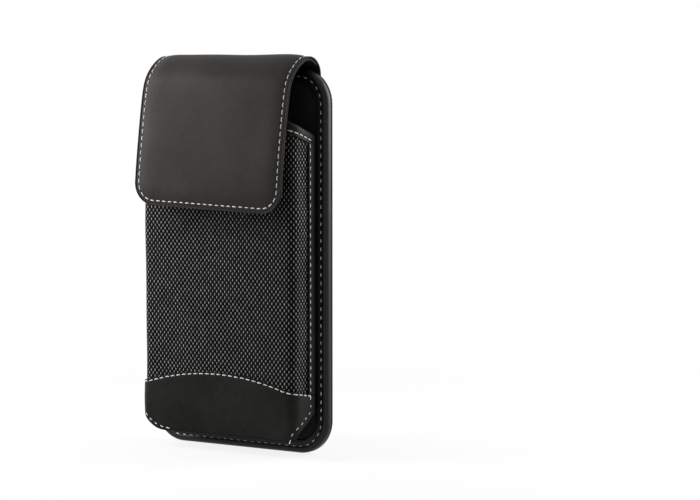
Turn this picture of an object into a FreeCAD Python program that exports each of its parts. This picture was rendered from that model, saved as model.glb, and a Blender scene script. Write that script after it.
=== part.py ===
import FreeCAD, Part
import math
import os

from FreeCAD import Vector

# Phone belt holster, in millimetres.
# A stiff bound back panel carries a folded woven pouch with a leather toe cap. A leather flap is sewn
# to the rear face and closes over the pouch mouth. A folded leather strap on the back takes a belt, and
# a ring in a sewn tab above it holds a small spring-gate carabiner.
# While it is modelled, X runs across the front, the front faces -Y, Y = 0 is the pocket side of the
# back panel and Z = 0 is its lower edge. At the end all pieces move so that the origin is the middle
# of the space that the belt passes through.

# Back panel
PANEL_WIDTH = 97.0
PANEL_HEIGHT = 171.0
PANEL_CORNER_RADIUS = 15.5
BINDING_LEATHER = 0.9
BINDING_WIDTH = 6.0
BINDING_EDGE_RADIUS = 2.2
BINDING_GROOVE_WIDTH = 0.6
BINDING_GROOVE_DEPTH = 0.4
BINDING_GROOVE_FROM_FRONT = 3.5
PANEL_LINING = 0.6
STIFFENER_BOARD = 1.6
PANEL_FOAM = 1.1
REAR_COVER = 0.7

# Pouch
POUCH_FLANGE = 6.25
POUCH_TAPER = 0.75
POUCH_DEPTH = 17.0
POUCH_FOLD_RADIUS = 4.2
POUCH_WEAVE = 1.2
POUCH_LINING = 0.6
WALL_GAP = 2.5
MOUTH_BELOW_TOP = 26.0
MOUTH_FALL = 5.3
MOUTH_LEATHER = 0.8
MOUTH_BAND = 7.0
EDGING_LEATHER = 0.7
EDGING_BAND = 3.5
GUSSET_OVERLAP = 5.5
GUSSET_FOOT = 4.0

# Toe cap
TOE_LEATHER = 0.9
TOE_BOTTOM = 6.0
TOE_PEAK_HEIGHT = 34.3
TOE_FOLD_HEIGHT = 28.8
TOE_REAR_HEIGHT = 25.4
TOE_EDGE_RADIUS = 2.0
TOE_LEFT_CORNER_RADIUS = 8.0
TOE_RIGHT_CORNER_RADIUS = 4.0
TOE_CUT_REAR_HEIGHT = 17.0
TOE_CUT_FRONT_HEIGHT = 9.0
TOE_CUT_LENGTH = 11.5
FLOOR_INSET = 8.5
FLOOR_BOARD = 1.2

# Flap
FLAP_INSET = 2.2
FLAP_LEATHER = 1.4
FLAP_LINING = 1.0
FLAP_HEM_BELOW_TOP = 29.0
FLAP_STRAIGHT_END = 12.0
FLAP_OVER_BINDING = 1.25
FLAP_RISE = 6.0
FLAP_SHOULDER = 19.0
FLAP_DROP = 70.0
FLAP_STANDOFF = 9.4
FLAP_CORNER_RADIUS = 10.5
HINGE_FROM_PANEL_FRONT = 1.1
HINGE_BELOW_APEX = 0.5
HINGE_GAP = 0.3
MAGNET_DIAMETER = 12.0
MAGNET_THICKNESS = 0.6
MAGNET_ABOVE_LIP = 11.0

# Belt loop
LOOP_WIDTH = 51.0
LOOP_LEATHER = 1.4
LOOP_LINING = 0.9
LOOP_BELOW_TOP = 16.0
LOOP_LENGTH = 86.5
LOOP_FOOT = 3.5
LOOP_BELT_GAP = 5.4
LOOP_SEAM_ROOM = 1.0
BELT_WIDTH = 35.0
BELT_THICKNESS = 4.4
BELT_BELOW_LOOP_TOP = 14.0

# Ring and its tab
RING_WIRE = 1.9
RING_RADIUS = 6.8
RING_TILT = 15.0
RING_ACROSS = -4.0
TAB_WIDTH = 4.0
TAB_LEATHER = 0.7
TAB_TAIL = 11.0
TAB_CLEARANCE = 0.4
TAB_ABOVE_LOOP = 0.2

# Carabiner, measured on the centre line of its wire
CARABINER_WIRE = 3.6
CARABINER_HEIGHT = 40.7
CROWN_FROM_SPINE = 7.3
BASE_FROM_SPINE = 8.0
NOSE_FROM_SPINE = 21.9
NOSE_HEIGHT = 29.3
RIVET_FROM_SPINE = 16.8
RIVET_HEIGHT = 8.3
HANG_CLEARANCE = 0.35
HANG_FROM_SPINE = 9.9
CARABINER_STANDOFF = 0.7
GATE_DIAMETER = 4.4
GATE_TAIL = 2.4
GATE_CLEARANCE = 0.3
GATE_LAP = 1.6
GATE_SEAM_WIDTH = 0.5
GATE_SEAM_DEPTH = 0.4
NOSE_PAST_GATE = 1.0
GATE_SLOT = 2.4
TONGUE_THICKNESS = 1.8
TONGUE_REACH = 3.7
TONGUE_END = 1.45
RIVET_DIAMETER = 1.6
RIVET_FIT = 0.05
RIVET_HEAD_DIAMETER = 2.6
RIVET_HEAD = 0.35
SPRING_WIRE = 0.4
SPRING_DIAMETER = 2.0
SPRING_PITCH = 1.0
SPRING_BORE_DIAMETER = 2.6
SPRING_BORE_DEPTH = 7.0

# How far a cutting shape passes the face that it cuts, and the size of one that is open-ended
PAST = 1.0
FAR = 200.0

# Widths and levels that follow from the sizes above
POUCH_REAR_WIDTH = PANEL_WIDTH - 2 * POUCH_FLANGE
POUCH_FRONT_WIDTH = POUCH_REAR_WIDTH - 2 * POUCH_TAPER
FLOOR_WIDTH = POUCH_FRONT_WIDTH - 2 * FLOOR_INSET
FLAP_WIDTH = POUCH_FRONT_WIDTH - 2 * FLAP_INSET
MOUTH_FRONT_HEIGHT = PANEL_HEIGHT - MOUTH_BELOW_TOP
MOUTH_REAR_HEIGHT = MOUTH_FRONT_HEIGHT - MOUTH_FALL
FLAP_REAR_HEM_HEIGHT = PANEL_HEIGHT - FLAP_HEM_BELOW_TOP
LOOP_TOP = PANEL_HEIGHT - LOOP_BELOW_TOP
LOOP_BOTTOM = LOOP_TOP - LOOP_LENGTH
LINING_FACE = BINDING_LEATHER
BOARD_FACE = LINING_FACE + PANEL_LINING
FOAM_FACE = BOARD_FACE + STIFFENER_BOARD
COVER_FACE = FOAM_FACE + PANEL_FOAM
COVER_REAR = COVER_FACE + REAR_COVER
PANEL_THICKNESS = COVER_REAR + BINDING_LEATHER
WALL_REAR = -WALL_GAP
POUCH_WALL = POUCH_WEAVE + POUCH_LINING
POUCH_FOLD_FACE = -POUCH_DEPTH + POUCH_FOLD_RADIUS
FLOOR_LEVEL = TOE_BOTTOM + TOE_LEATHER
FLAP_APEX = PANEL_HEIGHT + FLAP_RISE
FLAP_LIP = FLAP_APEX - FLAP_DROP
MAGNET_HEIGHT = FLAP_LIP + MAGNET_ABOVE_LIP
HEM_REAR = COVER_REAR + FLAP_LEATHER
LOOP_SEAT = COVER_REAR + LOOP_LINING + LOOP_LEATHER
LOOP_REAR = LOOP_SEAT + LOOP_BELT_GAP
TAB_FOLD_RADIUS = RING_WIRE / 2 + TAB_CLEARANCE + TAB_LEATHER
TAB_AXIS_Y = HEM_REAR + TAB_FOLD_RADIUS
TAB_AXIS_Z = LOOP_TOP + TAB_FOLD_RADIUS + TAB_ABOVE_LOOP
RING_LEAN = math.radians(RING_TILT)
RING_CENTRE_Y = TAB_AXIS_Y + RING_RADIUS * math.cos(RING_LEAN)
RING_CENTRE_Z = TAB_AXIS_Z + RING_RADIUS * math.sin(RING_LEAN)
CARABINER_Y = RING_CENTRE_Y + CARABINER_STANDOFF
HANG_X = RING_ACROSS - math.sqrt(RING_RADIUS ** 2 - (CARABINER_STANDOFF / math.cos(RING_LEAN)) ** 2)
HANG_Z = RING_CENTRE_Z + CARABINER_STANDOFF * math.tan(RING_LEAN)
CROWN_RADIUS = (((NOSE_FROM_SPINE - CROWN_FROM_SPINE) ** 2 + (CARABINER_HEIGHT - NOSE_HEIGHT) ** 2)
                / (2 * (CARABINER_HEIGHT - NOSE_HEIGHT)))
CROWN_CENTRE = CARABINER_HEIGHT - CROWN_RADIUS
BASE_RADIUS = ((RIVET_FROM_SPINE - BASE_FROM_SPINE) ** 2 + RIVET_HEIGHT ** 2) / (2 * RIVET_HEIGHT)
HANG_REACH = (RING_WIRE + CARABINER_WIRE) / 2 + HANG_CLEARANCE
HANG_HEIGHT = CROWN_CENTRE + math.sqrt((CROWN_RADIUS - HANG_REACH) ** 2
                                       - (HANG_FROM_SPINE - CROWN_FROM_SPINE) ** 2)
SPINE_X = HANG_X - HANG_FROM_SPINE
BASE_Z = HANG_Z - HANG_HEIGHT
GATE_ANGLE = math.atan2(NOSE_FROM_SPINE - RIVET_FROM_SPINE, NOSE_HEIGHT - RIVET_HEIGHT)
GATE_SPAN = math.hypot(NOSE_FROM_SPINE - RIVET_FROM_SPINE, NOSE_HEIGHT - RIVET_HEIGHT)
GATE_SLOT_TOP = TONGUE_REACH - GATE_CLEARANCE
SPRING_START = math.hypot(TONGUE_END, CARABINER_WIRE / 2) + GATE_CLEARANCE / 2
BELT_SPACE_Y = COVER_REAR + BELT_THICKNESS / 2
BELT_SPACE_Z = LOOP_TOP - BELT_BELOW_LOOP_TOP - BELT_WIDTH / 2


def block(x_low, x_high, y_low, y_high, z_low, z_high):
    """A plain box between two corners."""
    size = (x_high - x_low, y_high - y_low, z_high - z_low)
    return Part.makeBox(*size, Vector(x_low, y_low, z_low))


def side_prism(outline, x_low, x_high):
    """A (y, z) outline carried across from x_low to x_high."""
    corners = [Vector(x_low, y, z) for y, z in outline + outline[:1]]
    return Part.Face(Part.makePolygon(corners)).extrude(Vector(x_high - x_low, 0, 0))


def mirrored(shape):
    """The same piece on the other side of the middle."""
    return shape.mirror(Vector(0, 0, 0), Vector(1, 0, 0))


def both_sides(shape):
    """A piece together with its mirror image."""
    return shape.fuse(mirrored(shape))


def edges_along(shape, axis):
    """The straight edges of a shape that run along one axis."""
    found = []
    for edge in shape.Edges:
        run = edge.Vertexes[-1].Point - edge.Vertexes[0].Point
        if run.Length > 0 and abs(run.normalize().dot(axis)) > 0.999:
            found.append(edge)
    return found


def panel_slab(inset, front, thickness):
    """A slab with the outline of the back panel, moved in by inset."""
    slab = block(-PANEL_WIDTH / 2 + inset, PANEL_WIDTH / 2 - inset, front, front + thickness,
                 inset, PANEL_HEIGHT - inset)
    return slab.makeFillet(PANEL_CORNER_RADIUS - inset, edges_along(slab, Vector(0, 1, 0)))


def rim_rounded(slab, radius):
    """A slab with the edges of its front and rear faces rounded."""
    rims = [edge for edge in slab.Edges if edge.BoundBox.YLength < 0.001]
    return slab.makeFillet(radius, rims)


def panel_binding():
    """Leather folded over the edge of the back panel, with a groove pressed along its side."""
    skin = rim_rounded(panel_slab(0, 0, PANEL_THICKNESS), BINDING_EDGE_RADIUS)
    filling = rim_rounded(panel_slab(BINDING_LEATHER, BINDING_LEATHER, PANEL_THICKNESS - 2 * BINDING_LEATHER),
                          BINDING_EDGE_RADIUS - BINDING_LEATHER)
    window = panel_slab(BINDING_WIDTH, -PAST, PANEL_THICKNESS + 2 * PAST)
    groove = panel_slab(-PAST, BINDING_GROOVE_FROM_FRONT, BINDING_GROOVE_WIDTH)
    kept = panel_slab(BINDING_GROOVE_DEPTH, BINDING_GROOVE_FROM_FRONT - PAST, BINDING_GROOVE_WIDTH + 2 * PAST)
    groove = groove.cut(kept)
    return skin.cut(filling).cut(window).cut(groove)


def pouch_core(inset, z_low, z_high):
    """The pouch's outer block, moved in by inset, with its two front folds rounded."""
    half_front = POUCH_FRONT_WIDTH / 2 - inset
    half_rear = POUCH_REAR_WIDTH / 2 - inset
    front = -POUCH_DEPTH + inset
    outline = [(-half_rear, WALL_REAR), (-half_front, front), (half_front, front), (half_rear, WALL_REAR)]
    corners = [Vector(x, y, z_low) for x, y in outline + outline[:1]]
    core = Part.Face(Part.makePolygon(corners)).extrude(Vector(0, 0, z_high - z_low))
    folds = [edge for edge in edges_along(core, Vector(0, 0, 1)) if edge.CenterOfMass.y < WALL_REAR - PAST]
    return core.makeFillet(POUCH_FOLD_RADIUS - inset, folds)


def pouch_layer(outer, inner, z_low, z_high):
    """One layer of the pouch wall, between two depths below its woven face."""
    return pouch_core(outer, z_low, z_high).cut(pouch_core(inner, z_low - PAST, z_high + PAST))


def under_mouth(rise):
    """Everything below the pouch's sloping mouth, moved up by rise."""
    slope = (MOUTH_REAR_HEIGHT - MOUTH_FRONT_HEIGHT) / (WALL_REAR - POUCH_FOLD_FACE)
    rear = MOUTH_FRONT_HEIGHT + slope * (PANEL_THICKNESS - POUCH_FOLD_FACE)
    outline = [(-FAR, -PAST), (-FAR, MOUTH_FRONT_HEIGHT + rise), (POUCH_FOLD_FACE, MOUTH_FRONT_HEIGHT + rise),
               (PANEL_THICKNESS, rear + rise), (PANEL_THICKNESS, -PAST)]
    return side_prism(outline, -FAR, FAR)


def toe_corner(side, radius):
    """What is cut away at one lower corner of the pouch: a slanting cut in the side wall and a round
    corner in the front."""
    front = WALL_REAR - TOE_CUT_LENGTH
    outline = [(PANEL_THICKNESS, -PAST), (PANEL_THICKNESS, TOE_CUT_REAR_HEIGHT),
               (WALL_REAR, TOE_CUT_REAR_HEIGHT), (front, TOE_CUT_FRONT_HEIGHT), (front, -PAST)]
    slant = side_prism(outline, FLOOR_WIDTH / 2, FAR)
    edge = POUCH_FRONT_WIDTH / 2 + TOE_LEATHER
    rounding = block(edge - radius, edge + FAR, -FAR, 0, -PAST, TOE_BOTTOM + radius)
    rounding = rounding.cut(Part.makeCylinder(radius, FAR, Vector(edge - radius, 0, TOE_BOTTOM + radius),
                                              Vector(0, -1, 0)))
    corner = slant.fuse(rounding)
    return corner if side > 0 else mirrored(corner)


def open_corners():
    """Both cut-away lower corners of the pouch."""
    return toe_corner(-1, TOE_LEFT_CORNER_RADIUS).fuse(toe_corner(1, TOE_RIGHT_CORNER_RADIUS))


def over_toe():
    """Everything above the toe cap's arched top edge."""
    half = POUCH_FRONT_WIDTH / 2
    left = Vector(-half, -FAR, TOE_FOLD_HEIGHT)
    peak = Vector(0, -FAR, TOE_PEAK_HEIGHT)
    right = Vector(half, -FAR, TOE_FOLD_HEIGHT)
    far_right = Vector(FAR, -FAR, TOE_FOLD_HEIGHT)
    far_left = Vector(-FAR, -FAR, TOE_FOLD_HEIGHT)
    edges = [Part.Arc(left, peak, right).toShape(), Part.makeLine(right, far_right),
             Part.makeLine(far_right, Vector(FAR, -FAR, FAR)),
             Part.makeLine(Vector(FAR, -FAR, FAR), Vector(-FAR, -FAR, FAR)),
             Part.makeLine(Vector(-FAR, -FAR, FAR), far_left), Part.makeLine(far_left, left)]
    arch = Part.Face(Part.Wire(edges)).extrude(Vector(0, 2 * FAR, 0))
    fall = (TOE_REAR_HEIGHT - TOE_FOLD_HEIGHT) / (WALL_REAR - POUCH_FOLD_FACE)
    rear = TOE_FOLD_HEIGHT + fall * (PANEL_THICKNESS - POUCH_FOLD_FACE)
    outline = [(POUCH_FOLD_FACE, TOE_FOLD_HEIGHT), (PANEL_THICKNESS, rear), (PANEL_THICKNESS, FAR),
               (POUCH_FOLD_FACE, FAR)]
    return arch.fuse(both_sides(side_prism(outline, POUCH_FRONT_WIDTH / 2 - POUCH_WALL, FAR)))


def toe_cap():
    """Leather round the foot of the pouch: front, sides and floor in one piece."""
    outside = pouch_core(-TOE_LEATHER, TOE_BOTTOM, TOE_PEAK_HEIGHT + PAST)
    foot = [edge for edge in outside.Edges
            if edge.BoundBox.ZMax < TOE_BOTTOM + 0.001 and edge.CenterOfMass.y < WALL_REAR - 0.001]
    outside = outside.makeFillet(TOE_EDGE_RADIUS, foot)
    cap = outside.cut(pouch_core(0, FLOOR_LEVEL, TOE_PEAK_HEIGHT + 2 * PAST))
    tongue = block(-FLOOR_WIDTH / 2, FLOOR_WIDTH / 2, WALL_REAR, LINING_FACE, TOE_BOTTOM, FLOOR_LEVEL)
    return cap.fuse(tongue).cut(open_corners()).cut(over_toe()).removeSplitter()


def pocket_floor():
    """Woven board on the toe cap's floor, inside the pouch."""
    half = FLOOR_WIDTH / 2
    return block(-half, half, -POUCH_DEPTH + POUCH_WALL, LINING_FACE, FLOOR_LEVEL, FLOOR_LEVEL + FLOOR_BOARD)


def magnet_disc(front, rear):
    """A disc space on the middle line, between two depths."""
    centre = Vector(0, front, MAGNET_HEIGHT)
    return Part.makeCylinder(MAGNET_DIAMETER / 2, rear - front, centre, Vector(0, 1, 0))


def pouch_magnet():
    """The closing magnet behind the pouch's woven front."""
    rear = -POUCH_DEPTH + POUCH_WEAVE
    return magnet_disc(rear - MAGNET_THICKNESS, rear)


def pouch_weave():
    """One woven sheet folded round the pouch's front and both sides."""
    sheet = pouch_layer(0, POUCH_WEAVE, FLOOR_LEVEL, MOUTH_FRONT_HEIGHT + PAST)
    return sheet.common(under_mouth(0)).cut(open_corners()).cut(pouch_magnet())


def pouch_lining():
    """The lining of the front and sides, which stops where the elastic gussets start."""
    sheet = pouch_layer(POUCH_WEAVE, POUCH_WALL, FLOOR_LEVEL, MOUTH_FRONT_HEIGHT + PAST)
    gusset_side = block(-FAR, FAR, WALL_REAR - GUSSET_OVERLAP, PAST, -PAST, FAR)
    return sheet.common(under_mouth(0)).cut(open_corners()).cut(gusset_side)


def mouth_binding():
    """Leather folded over the mouth of the pouch."""
    fold = pouch_layer(-MOUTH_LEATHER, POUCH_WALL + MOUTH_LEATHER, PAST, MOUTH_FRONT_HEIGHT + 2 * PAST)
    fold = fold.common(under_mouth(MOUTH_LEATHER)).cut(under_mouth(-MOUTH_BAND))
    wall = pouch_layer(0, POUCH_WALL, 0, MOUTH_FRONT_HEIGHT + 3 * PAST).common(under_mouth(0))
    return fold.cut(wall)


def wall_edging():
    """Leather folded over the rear edge of the right side wall, between toe cap and mouth."""
    leg = pouch_layer(-EDGING_LEATHER, 0, TOE_REAR_HEIGHT, MOUTH_FRONT_HEIGHT)
    leg = leg.common(block(0, FAR, WALL_REAR - EDGING_BAND, WALL_REAR, 0, FAR))
    edge = POUCH_REAR_WIDTH / 2
    web = block(edge - POUCH_WEAVE, edge + EDGING_LEATHER, WALL_REAR, WALL_REAR + EDGING_LEATHER,
                TOE_REAR_HEIGHT, MOUTH_FRONT_HEIGHT)
    strip = leg.fuse(web).common(under_mouth(-MOUTH_BAND))
    return strip.cut(toe_cap()).removeSplitter()


def gusset():
    """Elastic strip that joins the right side wall to the back panel: sewn inside the wall at one
    edge, with its other edge turned in along the panel."""
    edge = POUCH_REAR_WIDTH / 2
    leg = pouch_layer(POUCH_WEAVE, POUCH_WALL, TOE_CUT_REAR_HEIGHT, MOUTH_FRONT_HEIGHT)
    leg = leg.common(block(0, FAR, WALL_REAR - GUSSET_OVERLAP, WALL_REAR, 0, FAR))
    bridge = block(edge - POUCH_WALL, edge - POUCH_WEAVE, WALL_REAR, LINING_FACE, TOE_CUT_REAR_HEIGHT,
                   MOUTH_FRONT_HEIGHT)
    foot = block(edge - POUCH_WALL - GUSSET_FOOT, edge - POUCH_WEAVE, LINING_FACE - POUCH_LINING, LINING_FACE,
                 TOE_CUT_REAR_HEIGHT, MOUTH_FRONT_HEIGHT)
    return leg.fuse(bridge).fuse(foot).common(under_mouth(0)).removeSplitter()


def sheet_section(points, depth, thickness, lead_in, end_turn):
    """The section of a bent sheet in the YZ plane. It starts with a straight upright run of lead_in,
    then follows a smooth curve through the points. Depth and thickness are measured inward."""
    guide = Part.BSplineCurve()
    guide.interpolate(Points=[Vector(0, y, z) for y, z in points], InitialTangent=Vector(0, 0, 1),
                      FinalTangent=end_turn, Scale=False)

    def beside(distance):
        """The curve at a distance inside the guide curve."""
        steps = 4 * len(points)
        first, last = guide.FirstParameter, guide.LastParameter
        offset = []
        for step in range(steps + 1):
            at = first + (last - first) * step / steps
            along = guide.tangent(at)[0]
            offset.append(guide.value(at) + Vector(0, -along.z, along.y) * distance)
        curve = Part.BSplineCurve()
        curve.interpolate(Points=offset, InitialTangent=Vector(0, 0, 1), FinalTangent=end_turn, Scale=False)
        return curve, offset[0], offset[-1]

    outer, outer_start, outer_end = beside(depth)
    inner, inner_start, inner_end = beside(depth + thickness)
    drop = Vector(0, 0, -lead_in)
    edges = [outer.toShape(), Part.makeLine(outer_end, inner_end), inner.toShape()]
    if lead_in > 0:
        edges += [Part.makeLine(start, start + drop) for start in (inner_start, outer_start)]
    edges.append(Part.makeLine(inner_start + drop, outer_start + drop))
    return Part.Face(Part.Wire(Part.__sortEdges__(edges)))


def across(section, width):
    """A section carried to both sides of the middle."""
    section.translate(Vector(-width / 2, 0, 0))
    return section.extrude(Vector(width, 0, 0))


def flap_guide():
    """Points on the flap's outer face, from its sewn rear hem over the top to its lip."""
    front = -POUCH_DEPTH - FLAP_STANDOFF
    over = FLAP_OVER_BINDING
    points = [(HEM_REAR, PANEL_HEIGHT - FLAP_STRAIGHT_END),
              (HEM_REAR + 0.88 * over, PANEL_HEIGHT - 1.07 * BINDING_WIDTH),
              (HEM_REAR + over, PANEL_HEIGHT - 0.55 * BINDING_WIDTH),
              (HEM_REAR + 0.6 * over, PANEL_HEIGHT),
              (HEM_REAR - 1.2 * over, PANEL_HEIGHT + 0.57 * FLAP_RISE),
              (HINGE_FROM_PANEL_FRONT, FLAP_APEX - HINGE_BELOW_APEX),
              (HINGE_FROM_PANEL_FRONT - 0.22 * FLAP_SHOULDER, FLAP_APEX)]
    bow = [(1.0, 0.019), (0.653, 0.086), (0.442, 0.164), (0.337, 0.261), (0.163, 0.543), (0.026, 0.843),
           (0.0, 1.0)]
    return points + [(front + back * FLAP_SHOULDER, FLAP_APEX - down * FLAP_DROP) for back, down in bow]


def flap_sheet(depth, thickness):
    """The whole flap as one bent sheet: up the rear face, over the top and down the front."""
    lead_in = PANEL_HEIGHT - FLAP_STRAIGHT_END - FLAP_REAR_HEM_HEIGHT
    sheet = across(sheet_section(flap_guide(), depth, thickness, lead_in, Vector(0, 0, -1)), FLAP_WIDTH)
    corner = FLAP_CORNER_RADIUS
    edge = FLAP_WIDTH / 2
    scrap = block(edge - corner, edge + PAST, -FAR, 0, FLAP_LIP - PAST, FLAP_LIP + corner)
    centre = Vector(edge - corner, 0, FLAP_LIP + corner)
    scrap = scrap.cut(Part.makeCylinder(corner, FAR, centre, Vector(0, -1, 0)))
    return sheet.cut(both_sides(scrap))


def in_front_of_hinge(gap):
    """Everything on the flap's side of the hinge line."""
    return block(-FAR, FAR, -FAR, HINGE_FROM_PANEL_FRONT - gap, -PAST, 2 * FAR)


def flap_anchor():
    """The flap leather's rear end, sewn to the back panel."""
    return flap_sheet(0, FLAP_LEATHER).cut(in_front_of_hinge(-HINGE_GAP / 2))


def flap_leather():
    """The flap's outer leather from the hinge line to its lip."""
    return flap_sheet(0, FLAP_LEATHER).common(in_front_of_hinge(HINGE_GAP / 2))


def flap_magnet():
    """The closing magnet between the flap's leather and its lining."""
    return flap_sheet(FLAP_LEATHER, MAGNET_THICKNESS).common(magnet_disc(-FAR, -POUCH_DEPTH))


def flap_lining():
    """The flap's lining, with a seat for the magnet."""
    return flap_sheet(FLAP_LEATHER, FLAP_LINING).common(in_front_of_hinge(HINGE_GAP / 2)).cut(flap_magnet())


def loop_strand(depth, thickness, trim):
    """The outer strand of the belt loop, from its sewn foot up to its top fold."""
    fold_centre = LOOP_TOP - (LOOP_REAR - HEM_REAR) / 2
    bow = [(0.098, 0.02), (0.191, 0.27), (0.306, 0.60), (0.457, 0.85), (0.653, 0.98), (0.827, 1.0)]
    points = [(LOOP_SEAT, LOOP_BOTTOM + LOOP_FOOT)]
    points += [(LOOP_SEAT + out * LOOP_BELT_GAP, LOOP_BOTTOM + up * LOOP_LENGTH) for up, out in bow]
    points.append((LOOP_REAR, fold_centre - trim))
    return across(sheet_section(points, depth, thickness, LOOP_FOOT - trim, Vector(0, 0, 1)), LOOP_WIDTH)


def belt_loop():
    """A leather strap sewn at its foot, folded over at the top and sewn down behind itself."""
    half = LOOP_WIDTH / 2
    outer = (LOOP_REAR - HEM_REAR) / 2
    centre = Vector(-half, HEM_REAR + outer, LOOP_TOP - outer)
    fold = Part.makeCylinder(outer, LOOP_WIDTH, centre, Vector(1, 0, 0))
    fold = fold.cut(Part.makeCylinder(outer - LOOP_LEATHER, LOOP_WIDTH, centre, Vector(1, 0, 0)))
    fold = fold.common(block(-FAR, FAR, 0, FAR, LOOP_TOP - outer, FAR))
    back = block(-half, half, HEM_REAR, HEM_REAR + LOOP_LEATHER, FLAP_REAR_HEM_HEIGHT, LOOP_TOP - outer)
    strap = loop_strand(0, LOOP_LEATHER, 0).fuse(fold).fuse(back).removeSplitter()
    return strap.cut(ring_tab())


def belt_loop_lining():
    """Webbing sewn inside the outer strand of the belt loop."""
    return loop_strand(LOOP_LEATHER, LOOP_LINING, LOOP_SEAM_ROOM).cut(layer(COVER_FACE, REAR_COVER))


def ring_tab():
    """A leather tab folded round the ring, with its tail sewn between flap and belt loop."""
    low = RING_ACROSS - TAB_WIDTH / 2
    centre = Vector(low, TAB_AXIS_Y, TAB_AXIS_Z)
    eye = Part.makeCylinder(TAB_FOLD_RADIUS, TAB_WIDTH, centre, Vector(1, 0, 0))
    tail = block(low, low + TAB_WIDTH, HEM_REAR, HEM_REAR + TAB_LEATHER, TAB_AXIS_Z - TAB_TAIL, TAB_AXIS_Z)
    tab = eye.fuse(tail)
    return tab.cut(Part.makeCylinder(TAB_FOLD_RADIUS - TAB_LEATHER, TAB_WIDTH, centre, Vector(1, 0, 0)))


def ring():
    """The wire ring, leaning outward from the tab."""
    upright = Vector(0, -math.sin(RING_LEAN), math.cos(RING_LEAN))
    centre = Vector(RING_ACROSS, RING_CENTRE_Y, RING_CENTRE_Z)
    return Part.makeTorus(RING_RADIUS, RING_WIRE / 2, centre, upright)


def carabiner_point(from_spine, height):
    """A point in the carabiner's plane, from its spine and its lowest centre line."""
    return Vector(SPINE_X + from_spine, CARABINER_Y, BASE_Z + height)


def carabiner_arc(from_spine, height, radius, start, end):
    """An arc of the carabiner's centre line, by centre, radius and angles in degrees."""
    points = []
    for angle in (start, (start + end) / 2, end):
        turn = math.radians(angle)
        points.append(carabiner_point(from_spine + radius * math.cos(turn), height + radius * math.sin(turn)))
    return Part.Arc(*points).toShape()


def beside_gate(shape):
    """Moves a shape from the gate's own axes, with its rivet at the origin and Z along the gate, to
    its place on the carabiner."""
    shape.rotate(Vector(0, 0, 0), Vector(0, 1, 0), math.degrees(GATE_ANGLE))
    shape.translate(carabiner_point(RIVET_FROM_SPINE, RIVET_HEIGHT))
    return shape


def carabiner_frame():
    """Bent wire from the nose over the crown, down the spine and round to the gate's rivet. Its end is
    flattened to a tongue, and its nose laps over the gate's tip."""
    nose_angle = math.degrees(math.atan2(NOSE_HEIGHT - CROWN_CENTRE, NOSE_FROM_SPINE - CROWN_FROM_SPINE))
    lap_angle = math.degrees((GATE_LAP + NOSE_PAST_GATE) / CROWN_RADIUS)
    tongue_angle = math.degrees(math.asin((RIVET_HEIGHT + TONGUE_END - BASE_RADIUS) / BASE_RADIUS))
    spine_top = CARABINER_HEIGHT - CROWN_FROM_SPINE
    path = [carabiner_arc(CROWN_FROM_SPINE, CROWN_CENTRE, CROWN_RADIUS, nose_angle - lap_angle, 90),
            carabiner_arc(CROWN_FROM_SPINE, spine_top, CROWN_FROM_SPINE, 90, 180),
            Part.makeLine(carabiner_point(0, spine_top), carabiner_point(0, BASE_FROM_SPINE)),
            carabiner_arc(BASE_FROM_SPINE, BASE_FROM_SPINE, BASE_FROM_SPINE, 180, 270),
            carabiner_arc(BASE_FROM_SPINE, BASE_RADIUS, BASE_RADIUS, 270, 360 + tongue_angle)]
    wire = Part.Wire(path)
    start = path[0].Vertexes[0].Point
    along = path[0].tangentAt(path[0].FirstParameter)
    section = Part.Wire(Part.makeCircle(CARABINER_WIRE / 2, start, along))
    frame = wire.makePipeShell([section], True, False)
    reach = Part.makeCylinder(TONGUE_REACH, 2 * GATE_DIAMETER, Vector(0, -GATE_DIAMETER, 0), Vector(0, 1, 0))
    cheeks = reach.cut(block(-FAR, FAR, -TONGUE_THICKNESS / 2, TONGUE_THICKNESS / 2, -FAR, FAR))
    side = GATE_DIAMETER
    below_nose = block(-side, side, -side, side, GATE_SPAN - 2 * side, GATE_SPAN)
    lip = block(GATE_CLEARANCE / 2, side, -side, side, GATE_SPAN - GATE_LAP, GATE_SPAN)
    rivet_hole = Part.makeCylinder(RIVET_DIAMETER / 2, 2 * side, Vector(0, -side, 0), Vector(0, 1, 0))
    return frame.cut(beside_gate(cheeks.fuse(below_nose.cut(lip)).fuse(rivet_hole)))


def gate_rivet():
    """The pin that the gate turns on, with a flat head at each end."""
    length = GATE_DIAMETER + 2 * GATE_CLEARANCE / 3
    start = Vector(0, -length / 2, 0)
    pin = Part.makeCylinder(RIVET_DIAMETER / 2, length, start, Vector(0, 1, 0))
    head = Part.makeCylinder(RIVET_HEAD_DIAMETER / 2, RIVET_HEAD, Vector(0, length / 2, 0), Vector(0, 1, 0))
    other = Part.makeCylinder(RIVET_HEAD_DIAMETER / 2, RIVET_HEAD, start, Vector(0, -1, 0))
    return beside_gate(pin.fuse(head).fuse(other).removeSplitter())


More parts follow.
